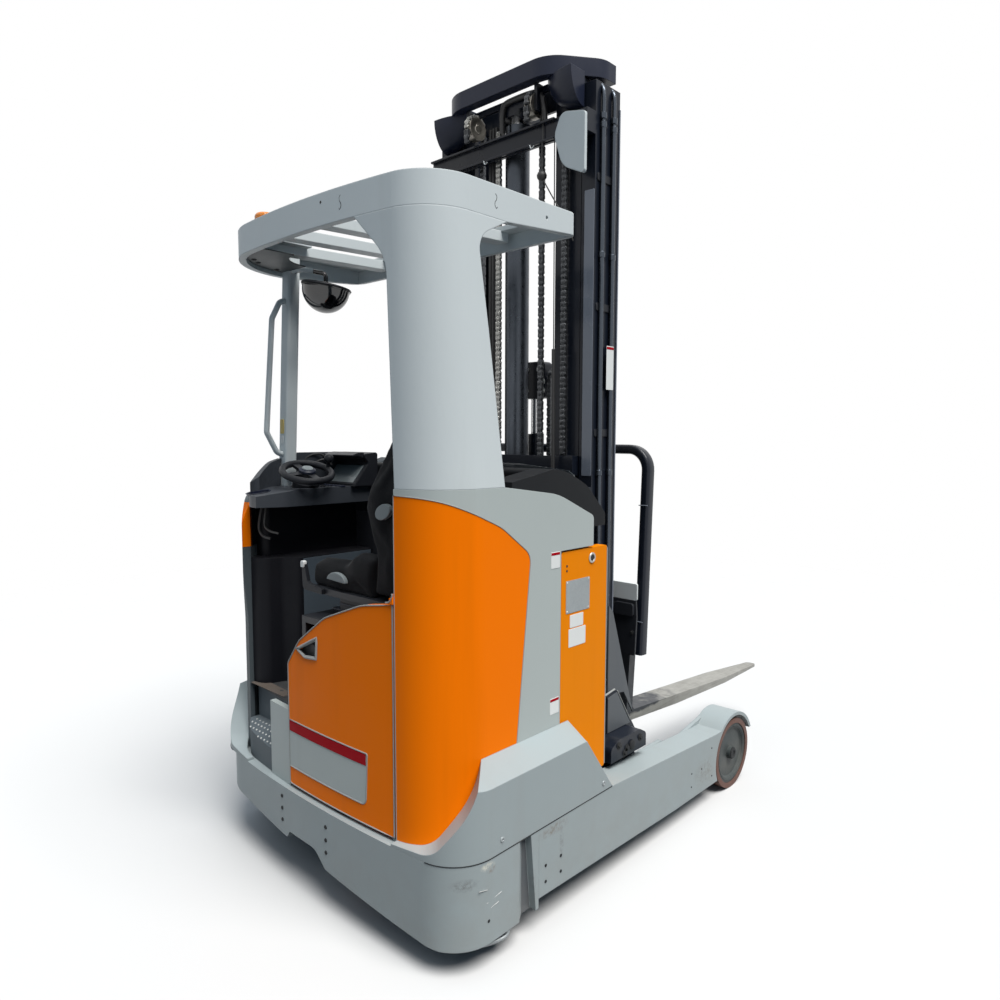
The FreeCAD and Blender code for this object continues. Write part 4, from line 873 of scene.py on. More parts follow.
# ---------------------------------------------------------------- overhead guard
def guard_details():
    """Slots, corner plate, beacon base and pillar stickers of the guard."""
    side = local(high("overhead_guard")).x
    top = local(high("overhead_guard")).z
    shape = bmesh.new()
    hook = ((0, 18), (-5, 12), (-4, 3), (1, -3), (2, -12), (-4, -19), (-8, -15))
    place = touch("overhead_guard", (230, REAR - 200, top - 40), (0, 1, 0))[0]
    tube(shape, smooth_path([(230 + u, place.y + 0.3, top - 40 + v) for u, v in hook]), 1.1, 6)
    tube(shape, smooth_path([(side - 0.4, -1345 - u, top - 42 + v) for u, v in hook]), 1.1, 6)
    lathe(shape, *touch("overhead_guard", (145, REAR - 200, top - 25), (0, 1, 0)), [(4, 0), (4, 0.5), (0, 0.5)], 16)
    piece("guard_slots", shape, "dark_socket", "chassis")
    shape = bmesh.new()
    x, y, quarter = -258, -1332, turns(math.pi / 2, 8)        # centre of the guard's round corner
    prism(shape, [(x - radius * math.cos(t), y - radius * math.sin(t))
                  for radius, angles in ((262, quarter), (120, reversed(quarter))) for t in angles],
          "xy", top - 74, top - 70)
    piece("guard_corner_plate", shape, "under_plate", "chassis", bevel=1)
    shape = bmesh.new()
    for x, y in ((-440, -1480), (-410, -1512), (-490, -1380)):
        bolt(shape, (x, y, top - 74), (0, 0, -1), 6)
    piece("guard_plate_bolts", shape, "dark_socket", "chassis")
    base = (low("warning_beacon") + high("warning_beacon")) / 2
    foot = local(Vector((base.x, base.y, low("warning_beacon").z)))
    shape = bmesh.new()
    lathe(shape, foot, (0, 0, 1), [(45, 0), (45.5, 6), (43.5, 14), (42.2, 15), (0, 15)], 40)
    piece("beacon_base", shape, "black_plastic", "chassis")
    shape = bmesh.new()
    place = touch("front_pillar", (-505, REAR - 300, 1470), (0, 1, 0))[0]
    plate(shape, (-519, -496), (1448, 1500), 3, "xz", place.y - 2.4, place.y + 1.5)
    piece("pillar_sticker", shape, "amber_sticker", "chassis")
    shape = bmesh.new()
    plate(shape, (-515, -500), (1412, 1440), 2, "xz", place.y - 3.6, place.y + 1.5)
    piece("pillar_tag", shape, "sticker", "chassis")


def mirror_details():
    """Rim of the mirror and the sleeve of its arm."""
    centre = Vector((-370, -1256, 1964))
    axis = Vector((0.127, 0.118, 0.985)).normalized()
    across = axis.orthogonal().normalized()
    other = axis.cross(across)
    shape = bmesh.new()
    tube(shape, circle(centre + axis * 7, across, other, 86, turns(2 * math.pi, 48, closed=True)), 3.6, 8, closed=True)
    piece("mirror_rim", shape, "black_plastic", "chassis")
    shape = bmesh.new()
    tube(shape, smooth_path([(-474, -1326, 2032), (-450, -1326, 2032), (-425, -1323, 2032), (-397, -1290, 2026)]), 9.2,
         12)
    piece("mirror_arm_sleeve", shape, "pillar_grey", "chassis")


# ---------------------------------------------------------------- driver's place
def console_details():
    """Cup ring, switches, levers, display and wiring of the console."""
    tray = 1255.0
    slope = Vector((0, 185, 28)).normalized()         # the tray falls towards the entry
    up = Vector((0, -slope.z, slope.y))
    cup = Vector((-452, -1495, 1242))
    shape = bmesh.new()
    lathe(shape, cup, up, [(38.5, -4), (42, 0), (43.5, 1.8), (40, 2.6), (38, 1), (37.4, -8)], 40)
    piece("cup_ring", shape, "cover_plastic", "chassis")
    shape = bmesh.new()
    for k in range(7):
        x = -490 + 24 * k
        plate(shape, (x, x + 18), (-1236, -1214), 3, "xy", tray - 0.5, tray + 4)
    piece("console_switches", shape, "cover_plastic", "chassis", bevel=1)
    shape = bmesh.new()
    for k in range(3):
        lathe(shape, (-362, -1290 - 30 * k, tray), (0, 0, 1), [(9, -1), (9, 3), (5, 5), (4.5, 18), (8, 22), (8, 32),
                                                                (5, 36), (0, 37)], 16)
    piece("finger_levers", shape, "black_plastic", "chassis")
    rise = Vector((0, 70, 85)).normalized()
    out = Vector((0, -rise.z, rise.y))
    corner = Vector((0, -1190, tray))

    def sloped(shape, x, along, depth):
        """Plate on the sloping instrument face between two x, two distances up it and two off it."""
        ends = [corner + rise * along[i] + out * depth[j] for i, j in ((0, 0), (1, 0), (1, 1), (0, 1))]
        prism(shape, [(end.y, end.z) for end in ends], "yz", *x)

    shape = bmesh.new()
    sloped(shape, (-506, -312), (6, 100), (0, 3))
    piece("display_frame", shape, "black_plastic", "chassis", bevel=1)
    shape = bmesh.new()
    sloped(shape, (-496, -326), (14, 94), (2, 4.2))
    piece("display_screen", shape, "screen", "chassis", bevel=0.6)
    shape = bmesh.new()
    prism(shape, [(-1128, 1352), (-1165, 1366), (-1190, 1364), (-1192, 1370), (-1165, 1378), (-1140, 1380)], "yz",
          -505, -316)
    piece("display_hood", shape, "black_plastic", "chassis", bevel=2)
    shape = bmesh.new()
    tube(shape, smooth_path([(-500, -1290, 1262), (-492, -1250, 1330), (-470, -1200, 1352), (-455, -1185, 1330)]), 4,
         8)
    tube(shape, smooth_path([(-505, -1300, 1262), (-512, -1268, 1350), (-500, -1215, 1372), (-488, -1180, 1350)]), 4,
         8)
    piece("console_cables", shape, "hose", "chassis")
    shape = bmesh.new()
    tube(shape, smooth_path([(-470, -1474, 1185), (-462, -1490, 1120), (-440, -1490, 1090), (-410, -1476, 1080)]), 5,
         8)
    tube(shape, smooth_path([(-440, -1474, 1185), (-430, -1486, 1130), (-405, -1484, 1110), (-380, -1462, 1100)]), 4,
         8)
    piece("console_wiring", shape, "hose", "chassis")
    edge = local(high("console_base")).x
    shape = bmesh.new()
    prism(shape, [(-1385, 566), (-1385, 1006), (-1088, 1006), (-1088, 566)], "yz", edge - 0.5, edge + 1.2)
    for z in (640, 930):
        for y in (-1370, -1100):
            lathe(shape, (edge + 1, y, z), (1, 0, 0), [(6, 0), (5, 1.6), (0, 2)], 12)
    piece("console_knee_panel", shape, "cab_wall", "chassis", bevel=0.5)


def wheel_details():
    """Boss and gaiter of the steering wheel."""
    axis = Vector((0.35, -0.1, 1)).normalized()
    column = Vector((-397, -1340, 1240))
    centre = column + axis * 75
    shape = bmesh.new()
    lathe(shape, centre, axis, [(30.5, 4), (30, 10), (25, 14), (12, 16.5), (0, 17)], 36)
    for k in range(3):
        lathe(shape, centre, axis, [(24 - 7 * k, 14 + k * 1.0), (23 - 7 * k, 15.6 + k * 0.9),
                                    (22 - 7 * k, 14 + k * 1.0)], 36)
    piece("steering_wheel_cap", shape, "cover_plastic", "steering_wheel")
    shape = bmesh.new()
    lathe(shape, centre + axis * 0.5, axis, [(20, 15.2), (19, 17.4), (10, 18.4), (0, 18.6)], 30)
    piece("steering_wheel_disc", shape, "seat_insert", "steering_wheel")
    shape = bmesh.new()
    folds = []
    for k in range(6):
        folds += [(49 - 4 * k, 6 * k - 6), (44 - 4 * k, 6 * k - 3)]
    lathe(shape, column + Vector((0, 0, 12)) + axis * 8, axis, [*folds, (0, 32)], 36)
    piece("steering_gaiter", shape, "hose", "chassis")


def floor_details():
    """Studs, pedals and mat of the cab floor and the step."""
    floor = local(high("cab_floor")).z
    shape = bmesh.new()
    for i in range(13):
        for j in range(4):
            x, y = -318 + 46 * j + (23 if i % 2 else 0), -1500 + 34 * i
            prism(shape, [(x - 11, y), (x, y - 7), (x + 11, y), (x, y + 7)], "xy", floor - 0.5, floor + 2)
    piece("floor_studs", shape, "mat_rubber", "chassis", bevel=0.6)
    shape = bmesh.new()
    for x in (-310, -225):
        prism(shape, [(-1160, floor + 1), (-1085.5, floor + 52), (-1085.5, floor + 60), (-1165, floor + 6)], "yz", x,
              x + 62)
        for k in range(5):
            y = -1150 + 14 * k
            prism(shape, [(y, floor + 15 + 9.3 * k), (y + 6, floor + 19 + 9.3 * k), (y + 4, floor + 23 + 9.3 * k),
                          (y - 2, floor + 19 + 9.3 * k)], "yz", x + 6, x + 56)
    piece("pedals", shape, "mat_rubber", "chassis", bevel=1)
    shape = bmesh.new()
    for i in range(4):
        for j in range(9):
            x = -452 + 21 * j + (10 if i % 2 else 0)
            found = touch("entry_step", (x, -1566 + 13 * i, 700), (0, 0, -1))
            if found[0].z < 690:
                lathe(shape, found[0], found[1], [(3.6, -0.5), (3.2, 1.4), (2.0, 2.0), (0, 2.0)], 12)
    piece("step_studs", shape, "stud", "chassis")
    shape = bmesh.new()
    prism(shape, [(-478, -1528), (-262, -1528), (-262, -1490), (-478, -1480)], "xy",
          floor - 0.5, floor + 1.4)
    piece("entry_mat_strip", shape, "worn_mat", "chassis", bevel=0.5)


# ---------------------------------------------------------------- driver's seat
def grid_cushion(name, node, voxel=0.007, shrink=0.972):
    """Even mesh of quads from a CAD solid, a little smaller than it, ready to be swollen."""
    source = frame["nodes"][node]
    mesh = source.data.copy()
    centre = middle(node)
    for vertex in mesh.vertices:
        vertex.co = centre + (vertex.co - centre) * shrink
    made = bpy.data.objects.new(name, mesh)
    bpy.context.scene.collection.objects.link(made)
    even = made.modifiers.new("even", "REMESH")
    even.mode = "VOXEL"
    even.voxel_size = voxel
    relax(made)
    return made


def settle(made):
    """Apply an object's modifiers to its mesh."""
    graph = bpy.context.evaluated_depsgraph_get()
    done = bpy.data.meshes.new_from_object(made.evaluated_get(graph))
    made.modifiers.clear()
    made.data = done


def relax(made, rounds=6):
    """Smooth an object's mesh, with the modifiers that it has."""
    smooth = made.modifiers.new("smooth", "SMOOTH")
    smooth.factor = 0.5
    smooth.iterations = rounds
    settle(made)


def swell(made, cap, pressure=4.0, frames=20):
    """Blow the cushion up like a filled cover, by no more than the cap at any point."""
    before = [v.co.copy() for v in made.data.vertices]
    cloth = made.modifiers.new("cloth", "CLOTH")
    cloth.settings.use_pressure = True
    cloth.settings.uniform_pressure_force = pressure
    cloth.settings.effector_weights.gravity = 0
    cloth.settings.quality = 6
    cloth.point_cache.frame_start, cloth.point_cache.frame_end = 1, frames
    for step in range(1, frames + 1):
        bpy.context.scene.frame_set(step)
    settle(made)
    for vertex, start in zip(made.data.vertices, before):
        move = vertex.co - start
        if move.length > cap:
            vertex.co = start + move.normalized() * cap
    relax(made)
    bpy.context.scene.frame_set(1)


def sew(made, seams, limits):
    """Press seams into a cushion and keep it off its neighbours.

    Each seam is (test point to signed distance in metres, depth, width); limits maps a point to an allowed one.
    """
    normals = [v.normal.copy() for v in made.data.vertices]
    for vertex, normal in zip(made.data.vertices, normals):
        for distance, depth, width in seams:
            away = distance(vertex.co, normal)
            if away is not None and abs(away) < width * 3:
                vertex.co -= normal * depth * math.exp(-(away / width) ** 2)
        vertex.co = limits(vertex.co)
    fine = made.modifiers.new("fine", "SUBSURF")
    fine.levels = fine.render_levels = 1
    settle(made)
    made.data.shade_smooth()
    made.data.materials.clear()


def seat_details():
    """Padded covers of the seat with their inserts, lever tip and suspension plates."""
    pan = low("seat_cushion").z
    front, back = low("seat_cushion").x, high("seat_cushion").x
    inner, outer = low("seat_cushion").y, high("seat_cushion").y
    centre = (inner + outer) / 2
    cushion = grid_cushion("seat_cushion_cover", "seat_cushion")
    rest = grid_cushion("seat_backrest_cover", "seat_backrest")
    swell(cushion, 0.010)
    swell(rest, 0.008)
    side_slack, gap = 0.004, 0.0005       # how far the covers may pass the pan's sides, and how far they clear its top

    def on_pan(x, p):
        """Point kept above the seat pan and inside its sides."""
        return Vector((x, min(max(p.y, inner - side_slack), outer + side_slack), max(p.z, pan + gap)))

    def across(x):
        """Distance from a seam across the cushion's top."""
        return lambda p, n: p.x - x if n.z > 0.45 and abs(p.y - centre) < 0.118 else None

    def bolster(side):
        """Distance from the seam along a raised side of the cushion."""
        return lambda p, n: (p.y - centre) * side - 0.122 if n.z > 0.3 else None

    def cushion_limits(p):
        """Allowed place for a point of the cushion, clear of the backrest."""
        return on_pan(min(p.x, back - 0.001), p)

    seams = [(across(front + 0.075 + 0.075 * k), 0.006, 0.006) for k in range(4)]
    seams += [(bolster(side), 0.008, 0.007) for side in (1, -1)]
    sew(cushion, seams, cushion_limits)

    def lumbar(z):
        """Distance from a seam across the backrest's front."""
        return lambda p, n: p.z - z if n.x < -0.45 and abs(p.y - centre) < 0.112 else None

    def wing(side):
        """Distance from the seam up a side of the backrest."""
        return lambda p, n: (p.y - centre) * side - 0.118 if n.x < -0.3 else None

    def rest_limits(p):
        """Allowed place for a point of the backrest, clear of the cushion below."""
        return on_pan(max(p.x, back + 0.0012) if p.z < high("seat_cushion").z else p.x, p)

    seams = [(lumbar(1.16 + 0.085 * k), 0.006, 0.006) for k in range(5)]
    seams += [(wing(side), 0.008, 0.007) for side in (1, -1)]
    sew(rest, seams, rest_limits)
    for made, node in ((cushion, "seat_cushion"), (rest, "seat_backrest")):
        made.data.materials.append(looks["seat_fabric"])
        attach(made, "chassis")
        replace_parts(made, node)
    near = local(Vector((0, inner, 0))).y - 5
    shape = bmesh.new()
    prism(shape, [(246 + 34 * math.cos(t), 1222 + 23 * math.sin(t) + 8 * math.cos(t))
                  for t in turns(2 * math.pi, 28, closed=True)], "xz", near - 3, near + 12)
    prism(shape, [(-40, 990), (58, 986), *[(58 - 49 * (1 - math.cos(t)), 986 + 30 * math.sin(t))
                                           for t in turns(math.pi, 12)[1:-1]]], "xz", near - 3, near + 12)
    piece("seat_side_inserts", shape, "seat_insert", "chassis", bevel=3)
    shape = bmesh.new()
    plate(shape, (-174, -156), (1012, 1034), 5, "xz", near - 12, near + 2)
    piece("lever_tip", shape, "sticker", "chassis", bevel=2)
    shape = bmesh.new()
    for k, (x0, x1) in enumerate(((-60, 300), (-20, 292), (-60, 300))):
        z = (884, 906, 928)[k]
        plate(shape, (x0, x1), (z, z + 6), 2, "xz", -1463.5, -1136)
    piece("suspension_plates", shape, "cover_plastic", "chassis", bevel=1)


# ---------------------------------------------------------------- mast
def mast_details():
    """Pipes, flanges and cable on the outer mast, with a painted reflection strip and a painted edge highlight."""
    side = local(high("outer_mast")).x
    back = local(low("outer_mast")).y
    top = local(high("outer_mast")).z
    shape = bmesh.new()
    radius = 9
    for y in (-641, -578):
        tube(shape, [(side + radius, y, 420), (side + radius, y, top - 150)], radius, 20)
        for z in (520, 1300, 2060, top - 155, top - 125):
            lathe(shape, (side + radius, y, z), (0, 0, 1), [(radius, 0), (radius + 3, 2), (radius + 3, 20),
                                                            (radius, 22)], 20)
        tube(shape, smooth_path([(side + radius, y, top - 150), (side + radius, y, top - 40),
                                 (side - 4, y + 4, top - 8)]),
             radius * 0.8, 14)
    piece("mast_pipes", shape, "pipe_black", "mast_base")
    shape = bmesh.new()
    for z in (560, 1000, 1440, 1880, 2320):
        plate(shape, (-662, -557), (z, z + 26), 6, "yz", side - 0.5, side + 4)
    piece("pipe_clamps", shape, "black_metal", "mast_base", bevel=1)
    # Painted reflection: a pale strip on the outer mast's rear flange stands in for the sky reflected in its black
    # paint.
    shape = bmesh.new()
    plate(shape, (side - 43, side - 1), (1300, 2290), 3, "xz", back + 47, back + 50)
    piece("pale_bands_and_reflections", shape, "pale_bands_and_reflections", "mast_base", bevel=0.8)
    shape = bmesh.new()
    plate(shape, (-617, -573), (1606, 1760), 3, "yz", side + 18.2, side + 19)
    piece("mast_sticker", shape, "sticker", "mast_base")
    shape = bmesh.new()
    prism(shape, [(-616, 1748), (-574, 1748), (-574, 1757), (-616, 1757)], "yz", side + 18.6, side + 19.4)
    piece("mast_sticker_band", shape, "red_stripe", "mast_base")
    # Painted highlight: a thin pale rod down the mast's front right edge stands in for the light that edge catches.
    shape = bmesh.new()
    tube(shape, [(side + 1.5, -531, 120), (side + 1.5, -531, top - 60)], 3, 8)
    piece("mast_edge_highlight", shape, "pale_bands_and_reflections", "mast_base")
    shape = bmesh.new()
    for z in (2473, 2537):
        prism(shape, [(-side, z), (side - 135, z), (side - 135, z + 8), (-side, z + 8)], "xz", back - 14, back)
    piece("crossbar_flanges", shape, "mast_black", "mast_base", bevel=1.5)
    shape = bmesh.new()
    for x in (-78, 151):
        tube(shape, smooth_path([(x - 8, back - 15, 2476), (x, back - 17, 2462), (x + 12, back - 15, 2468)]), 2.2, 6)
    piece("crossbar_clips", shape, "sticker", "mast_base")
    shape = bmesh.new()
    tube(shape, smooth_path([(198, back - 10, 2480), (197, back - 12, 2420), (198, back - 12, 2376)]), 2.6, 8)
    lathe(shape, (198, back - 12, 2357), (0, 0, 1), [(0, -17), (11, -14), (17, -5), (18, 3), (14, 12), (6, 18),
                                                     (0, 20)], 24)
    tube(shape, smooth_path([(203, back - 12, 2346), (238, back - 12, 2290), (275, back - 10, 2232),
                             (300, back - 4, 2180),
                             (316, back + 20, 2120)]), 2.4, 8)
    tube(shape, [(197, back - 6, 2632), (197, back - 6, 2480)], 2.0, 6)
    tube(shape, [(250, back - 6, 2472), (253, back - 6, 1750)], 2.0, 6)
    tube(shape, [(253, back - 6, 1750), (255, back - 6, 1275)], 7.0, 10)
    piece("mast_cable", shape, "hose", "mast_base")
    mast_feet(side)
    cover_end()


def cover_end():
    """Domed closings under the mast cover's ends, and the bent hose beside the right one."""
    top = local(low("mast_cover")).z + 6
    x, y = 340, -679                              # inner corner of the dome
    wide, deep, drop = 150, 78, 118
    levels, steps = 8, 12
    for sign, name in SIDES:
        shape = bmesh.new()
        core = [shape.verts.new((sign * x, y, top - drop * k / levels)) for k in range(levels + 1)]
        rings = []
        for dip in turns(math.pi / 2, levels, closed=True):
            rings.append([shape.verts.new((sign * (x - wide * math.cos(t) * math.cos(dip)),
                                           y - deep * math.sin(t) * math.cos(dip), top - drop * math.sin(dip)))
                          for t in turns(math.pi / 2, steps)])
        for a, b in zip(rings, rings[1:]):
            for j in range(steps):
                shape.faces.new((a[j], a[j + 1], b[j + 1], b[j]))
        for j in range(steps):
            shape.faces.new((rings[-1][j], rings[-1][j + 1], core[-1]))
        shape.faces.new([*rings[0], core[0]])
        for end in (0, -1):
            shape.faces.new([*[ring[end] for ring in rings], *reversed(core)])
        piece("cover_end_" + name, shape, "cover_plastic", "middle_stage")
    shape = bmesh.new()
    tube(shape, smooth_path([(-12, -712, 2560), (-12, -712, 2624), (-2, -712, 2660), (40, -712, 2668),
                             (140, -712, 2664),
                             (176, -712, 2640), (188, -712, 2590), (191, -712, 2556)]), 11, 12)
    piece("mast_top_hose", shape, "hose", "middle_stage")


def mast_feet(side):
    """Stiffeners at the mast's foot on the reach carriage, with bolted roller blocks."""
    out = local(high("reach_carriage")).x
    for sign, name in SIDES:
        shape = bmesh.new()
        prism(shape, [(-668, 520), (-668, 845), (-642, 818), (-502, 413), (-565, 506)], "yz", sign * 460, sign * 466)
        piece("mast_foot_plate_" + name, shape, "gusset_grey", "mast_base", bevel=1)
        shape = bmesh.new()
        prism(shape, [(-718, 404), (-718, 531), (-663, 540), (-575, 404)], "yz", sign * 500.4, sign * 502)
        piece("gusset_face_" + name, shape, "gusset_grey", "mast_base", bevel=0.6)
        shape = bmesh.new()
        tube(shape, [(sign * 489, -722, 536), (sign * 489, -660, 545)], 4, 8)
        tube(shape, [(sign * 501, -660, 543), (sign * 501, -575, 414)], 2, 8)
        piece("gusset_edge_" + name, shape, "pale_edge", "mast_base")
        shape = bmesh.new()
        for y, z in ((-734, 382), (-684, 359), (-697, 345), (-600, 372)):
            bolt(shape, (sign * out, y, z), (sign, 0, 0), 8, 0.9)
        lathe(shape, (sign * out, -655, 362), (sign, 0, 0), [(17, 0), (17, 6), (12, 9), (0, 9)], 24)
        piece("roller_block_bolts_" + name, shape, "dark_socket", "mast_base")


def fork_details():
    """Plates and bolts on the side shifter beside the forks."""
    face = -457                                   # rear face of the side shifter
    for sign, name in SIDES:
        shape = bmesh.new()
        edges = sorted((sign * 322, sign * 446))
        plate(shape, edges, (824, 888), 6, "xz", face, -449)
        piece("shifter_cover_" + name, shape, "bare_plate", "shifter", bevel=1)
        shape = bmesh.new()
        prism(shape, [(sign * x, z) for x, z in ((326, 612), (326, 823), (442, 823), (446, 760), (440, 612))],
              "xz", face, -448)
        plate(shape, sorted((sign * 352, sign * 436)), (764, 812), 10, "xz", -468, face)
        piece("shifter_bracket_" + name, shape, "black_metal", "shifter", bevel=1.5)
        shape = bmesh.new()
        for x, z in ((340, 800), (340, 770), (340, 700), (426, 700)):
            bolt(shape, (sign * x, face, z), (0, -1, 0), 6, 0.7)
        piece("shifter_bolts_" + name, shape, "dark_socket", "shifter")
    shape = bmesh.new()
    for x in (-230, 230):
        tube(shape, [(x - 60, -441, 700), (x + 60, -441, 700)], 16, 20)
        tube(shape, [(x + 60, -441, 700), (x + 92, -441, 700)], 8, 14)
    piece("shift_cylinders", shape, "black_metal", "shifter")


def backrest_details():
    """Backrest hoop of oval tube with its two bars, leaning back a little."""
    x, lean = local(high("load_backrest")).x - 18, math.radians(2.5)
    pin = Vector((0, -404, 780))

    def leaning(point):
        """Point of the upright hoop, turned back about the tilt pin."""
        offset = Vector(point) - pin
        return pin + Vector((offset.x, offset.y * math.cos(lean) + offset.z * math.sin(lean),
                             offset.z * math.cos(lean) - offset.y * math.sin(lean)))

    top, bend, y = 1392, 80, -396
    half = [(x, y, 606), (x, y, 620), (x, y, top - bend)]
    half += [(x - bend * (1 - math.cos(t)), y, top - bend + bend * math.sin(t)) for t in turns(math.pi / 2, 10)[1:]]
    path = half + [(-a, b, c) for a, b, c in reversed(half)]
    shape = bmesh.new()
    rings = []
    for i, point in enumerate(path):
        before, after = Vector(path[max(i - 1, 0)]), Vector(path[min(i + 1, len(path) - 1)])
        along = (after - before).normalized()
        wide, deep = Vector((0, 1, 0)), Vector((0, 1, 0)).cross(along)
        section = rounded_outline((-24, 24), (-18, 18), 11, 4)
        rings.append([leaning(Vector(point) + wide * u + deep * v) for u, v in section])
    skin(shape, rings)
    for side in (-1, 1):
        tube(shape, [leaning((side * 100, y, 650)), leaning((side * 100, y, 1386))], 9, 16)
    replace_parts(piece("backrest_hoop", shape, "mast_black", "forks"), "load_backrest")
    shape = bmesh.new()
    for side in (-1, 1):
        for z in (735, 1180):
            tube(shape, [leaning((side * (x + reach), y - 25, z)) for reach in (19, -19)], 2, 6)
    piece("backrest_bands", shape, "pale_bands_and_reflections", "forks")


def hub_details():
    """Cap and turned rings on the load wheels' hubs."""
    axle_z = 142.5
    for sign, name in SIDES:
        place = touch("load_hub_" + name, (sign * 800, 0, axle_z), (-sign, 0, 0))[0]
        shape = bmesh.new()
        start = Vector((place.x, 0, axle_z))
        lathe(shape, start, (sign, 0, 0), [(24, -1), (24, 3), (20, 6), (12, 6), (11, 3), (0, 3)], 32)
        piece("hub_cap_" + name, shape, "dark_socket", "load_wheel_" + name)
        shape = bmesh.new()
        for radius in (105, 112):
            ring = []
            for t in turns(2 * math.pi, 48, closed=True):
                y, z = radius * math.cos(t), axle_z + radius * math.sin(t)
                ring.append((touch("load_hub_" + name, (sign * 800, y, z), (-sign, 0, 0))[0].x, y, z))
            tube(shape, ring, 1.5, 6, closed=True)
        piece("hub_rings_" + name, shape, "hub_dark", "load_wheel_" + name)


def strand(name, path, body, look="chain"):
    """Chain piece along a path."""
    shape = bmesh.new()
    chain(shape, path, (1, 0, 0))
    return piece(name, shape, look, body)


def stretched(name, path, first, second, start, end):
    """Chain along a path, baked where it lies and left off the bodies."""
    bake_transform(strand(name, path, None), first, second, start=at(*(c / 1000 for c in start)),
             end=at(*(c / 1000 for c in end)))


def over(x, y, z, radius, steps):
    """Half turn over a wheel, from behind it to in front."""
    return [(x, y - radius * math.cos(t), z + radius * math.sin(t)) for t in turns(math.pi, steps)]


def chain_details():
    """Chains, sheave faces and hoses between the mast's stages."""
    lo, hi = local(low("chain_sheaves")), local(high("chain_sheaves"))
    sheave_x = hi.x - 13
    centre = Vector((0, (lo.y + hi.y) / 2, (lo.z + hi.z) / 2))
    radius = (hi.z - lo.z) / 2 + 4
    for name, x in (("right", sheave_x), ("left", -sheave_x)):
        arc = over(x, centre.y, centre.z, radius, 16)
        strand("sheave_chain_" + name, arc, "middle_stage", "bright_chain" if name == "left" else "chain")
        ends = (x, centre.y - radius, 2556), (x, centre.y - radius, centre.z)
        stretched("rear_chain_" + name, ends, "middle_stage", "mast_base", ends[1], ends[0])
        path = [(x, centre.y + radius, centre.z), (x, -675, 2520), (x, -675, 1220)]
        stretched("front_chain_" + name, path, "middle_stage", "inner_stage", (x, -675, centre.z), path[-1])
        shape = bmesh.new()
        for side in (-1, 1):
            lathe(shape, (x + side * 13, centre.y, centre.z), (side, 0, 0),
                  [(42, -0.2), (42, 1.6), (30, 1.6), (27, 0.4), (16, 0.4), (14, 3), (0, 3)], 36)
        piece("sheave_faces_" + name, shape, "sheave_steel", "middle_stage")
    strand("guide_chain", [(-50, -690, 1380), (-50, -690, 2590)], "middle_stage", "bright_chain")
    strand("tie_chain", [(268, -690, 1380), (268, -690, 2440)], "middle_stage")
    shape = bmesh.new()
    for x in (-72, -88, -104):
        tube(shape, [(x, -679, 400), (x, -679, 2610)], 7, 12)
    piece("stage_hoses", shape, "hose", "middle_stage")
    y, wheel_z, wrap = -521.0, 1665.0, 38         # crosshead's chain wheels and the chain's radius on them
    for name, x in (("right", 100), ("left", -100)):
        strand("crosshead_chain_" + name, over(x, y, wheel_z, wrap, 12), "crosshead")
        ends = (x, y - wrap, 1240), (x, y - wrap, wheel_z)
        stretched("inner_chain_" + name, ends, "inner_stage", "crosshead", *ends)
        ends = (x, y + wrap, wheel_z), (x, y + wrap, 820)
        stretched("carriage_chain_" + name, ends, "inner_stage", "carriage", (x, y + wrap, 2510), ends[1])
    shape = bmesh.new()
    for x, z in ((-34, 1620), (-34, 1705), (34, 1705)):
        for face in (-1, 1):
            bolt(shape, (x, y + face * 22, z), (0, face, 0), 9)
    for z in (1656, 1621):
        bolt(shape, (48, y - 22, z), (0, -1, 0), 9, 0.9)
    piece("crosshead_bolts", shape, "stud", "crosshead")
    shape = bmesh.new()
    tube(shape, [(0, y, 1452), (0, y, 1589)], 21, 28)
    piece("free_lift_chrome", shape, "chrome_rod", "crosshead")


def hood_screen():
    """Smoked screen between the driver and the mast, standing on the battery hood."""
    shape = bmesh.new()
    prism(shape, [(-470, 1300), (-470, 1348), (-440, 1356), (300, 1350), (505, 1333), (528, 1318), (533, 1296)],
          "xz", -962, -958)
    piece("hood_screen", shape, "smoked", "chassis", bevel=0.8)


door_details()
body_details()
chassis_details()
guard_details()
mirror_details()
console_details()
wheel_details()
floor_details()
seat_details()
mast_details()
fork_details()
backrest_details()
hub_details()
chain_details()
hood_screen()


# ---------------------------------------------------------------- stage, light and camera
def floor():
    """Pale floor that thins out into the white background away from the truck."""
    mesh = bpy.data.meshes.new("floor")
    size = 12.0
    mesh.from_pydata([(-size, -size, 0), (size, -size, 0), (size, size, 0), (-size, size, 0)], [], [(0, 1, 2, 3)])
    plane = bpy.data.objects.new("floor", mesh)
    bpy.context.scene.collection.objects.link(plane)
    n = Nodes("pale_floor")
    grain = n.ramp(n.noise(0.8, 4), 0.3, 0.7, (0.0, 0.04))
    pale = n.mix(grain, (0.60, 0.60, 0.60), (0.54, 0.54, 0.54))
    rays = n.add("ShaderNodeLightPath").outputs
    seen = n.maths("MAXIMUM", rays["Is Camera Ray"], n.maths("MAXIMUM", rays["Is Glossy Ray"],
                                                             rays["Is Transmission Ray"]))
    base = n.mix(seen, (0.16, 0.16, 0.16), pale)
    place = n.add("ShaderNodeNewGeometry").outputs["Position"]
    length = n.feed(n.add("ShaderNodeVectorMath", operation="LENGTH"), Vector=place)
    fade = n.ramp(length.outputs["Value"], 2.6, 6.0)
    mesh.materials.append(n.finish(Base_Color=base, Roughness=0.9, Specular_IOR_Level=0.0,
                                   Alpha=n.maths("SUBTRACT", 1.0, fade, clamp=True)))


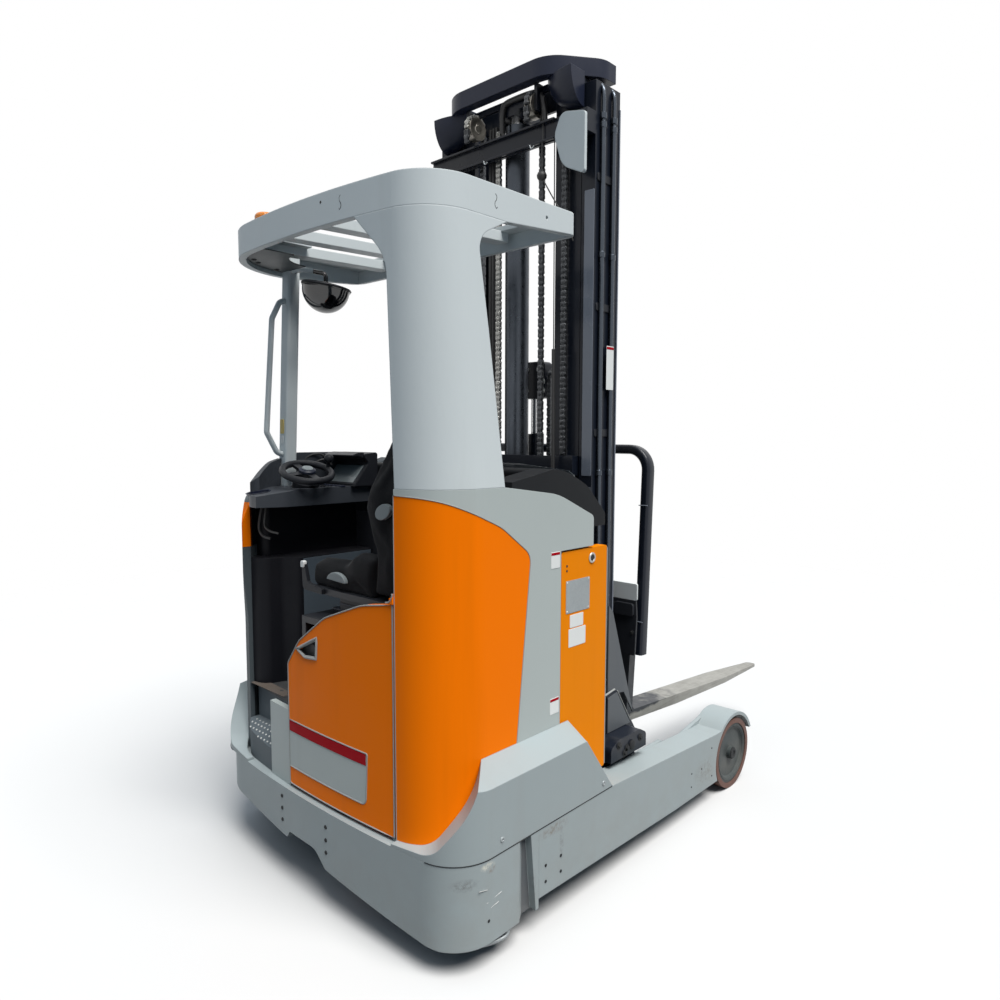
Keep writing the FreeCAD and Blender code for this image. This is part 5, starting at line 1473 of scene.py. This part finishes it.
def world():
    """Bluish ambient light behind a background that the camera sees as white."""
    made = bpy.data.worlds.new("studio")
    bpy.context.scene.world = made
    made.use_nodes = True
    tree = made.node_tree
    tree.nodes.clear()
    rays = tree.nodes.new("ShaderNodeLightPath")
    seen = rays.outputs["Is Camera Ray"]
    for kind in ("Is Glossy Ray", "Is Transmission Ray"):
        either = tree.nodes.new("ShaderNodeMath")
        either.operation = "MAXIMUM"
        tree.links.new(seen, either.inputs[0])
        tree.links.new(rays.outputs[kind], either.inputs[1])
        seen = either.outputs[0]
    ambient = tree.nodes.new("ShaderNodeBackground")
    ambient.inputs["Color"].default_value = (0.48, 0.72, 1.0, 1.0)
    ambient.inputs["Strength"].default_value = 0.17
    white = tree.nodes.new("ShaderNodeBackground")
    white.inputs["Color"].default_value = (1.0, 1.0, 1.0, 1.0)
    mix = tree.nodes.new("ShaderNodeMixShader")
    tree.links.new(seen, mix.inputs[0])
    tree.links.new(ambient.outputs[0], mix.inputs[1])
    tree.links.new(white.outputs[0], mix.inputs[2])
    out = tree.nodes.new("ShaderNodeOutputWorld")
    tree.links.new(mix.outputs[0], out.inputs["Surface"])


def soft_sun(name, towards, strength, angle, colour=(1.0, 1.0, 1.0)):
    """Wide soft lamp that shines from a direction."""
    lamp = bpy.data.lights.new(name, "SUN")
    lamp.energy = strength
    lamp.angle = math.radians(angle)
    lamp.color = colour
    holder = bpy.data.objects.new(name, lamp)
    holder.rotation_euler = Vector(towards).to_track_quat("Z", "Y").to_euler()
    bpy.context.scene.collection.objects.link(holder)


def camera():
    """Stands behind the right rear corner at eye height and looks across the truck."""
    yaw, pitch, roll = math.radians(42.86), math.radians(4.93), math.radians(-0.14)
    data = bpy.data.cameras.new("camera")
    data.sensor_width = 36.0
    data.lens = 26.71
    holder = bpy.data.objects.new("camera", data)
    turn = Matrix.Rotation(yaw, 4, "Z") @ Matrix.Rotation(math.pi / 2 - pitch, 4, "X") @ Matrix.Rotation(-roll, 4, "Z")
    holder.matrix_world = Matrix.Translation(at(1.9375, -2.822, 1.4412)) @ turn
    bpy.context.scene.collection.objects.link(holder)
    bpy.context.scene.camera = holder


floor()
world()
soft_sun("key", (0.45, -0.07, 0.89), 4.7, 35, (1.0, 0.98, 0.95))
soft_sun("sky", (-0.05, -0.10, 1.0), 0.9, 90, (0.9, 0.96, 1.0))
camera()
bpy.context.scene.view_settings.view_transform = "Standard"
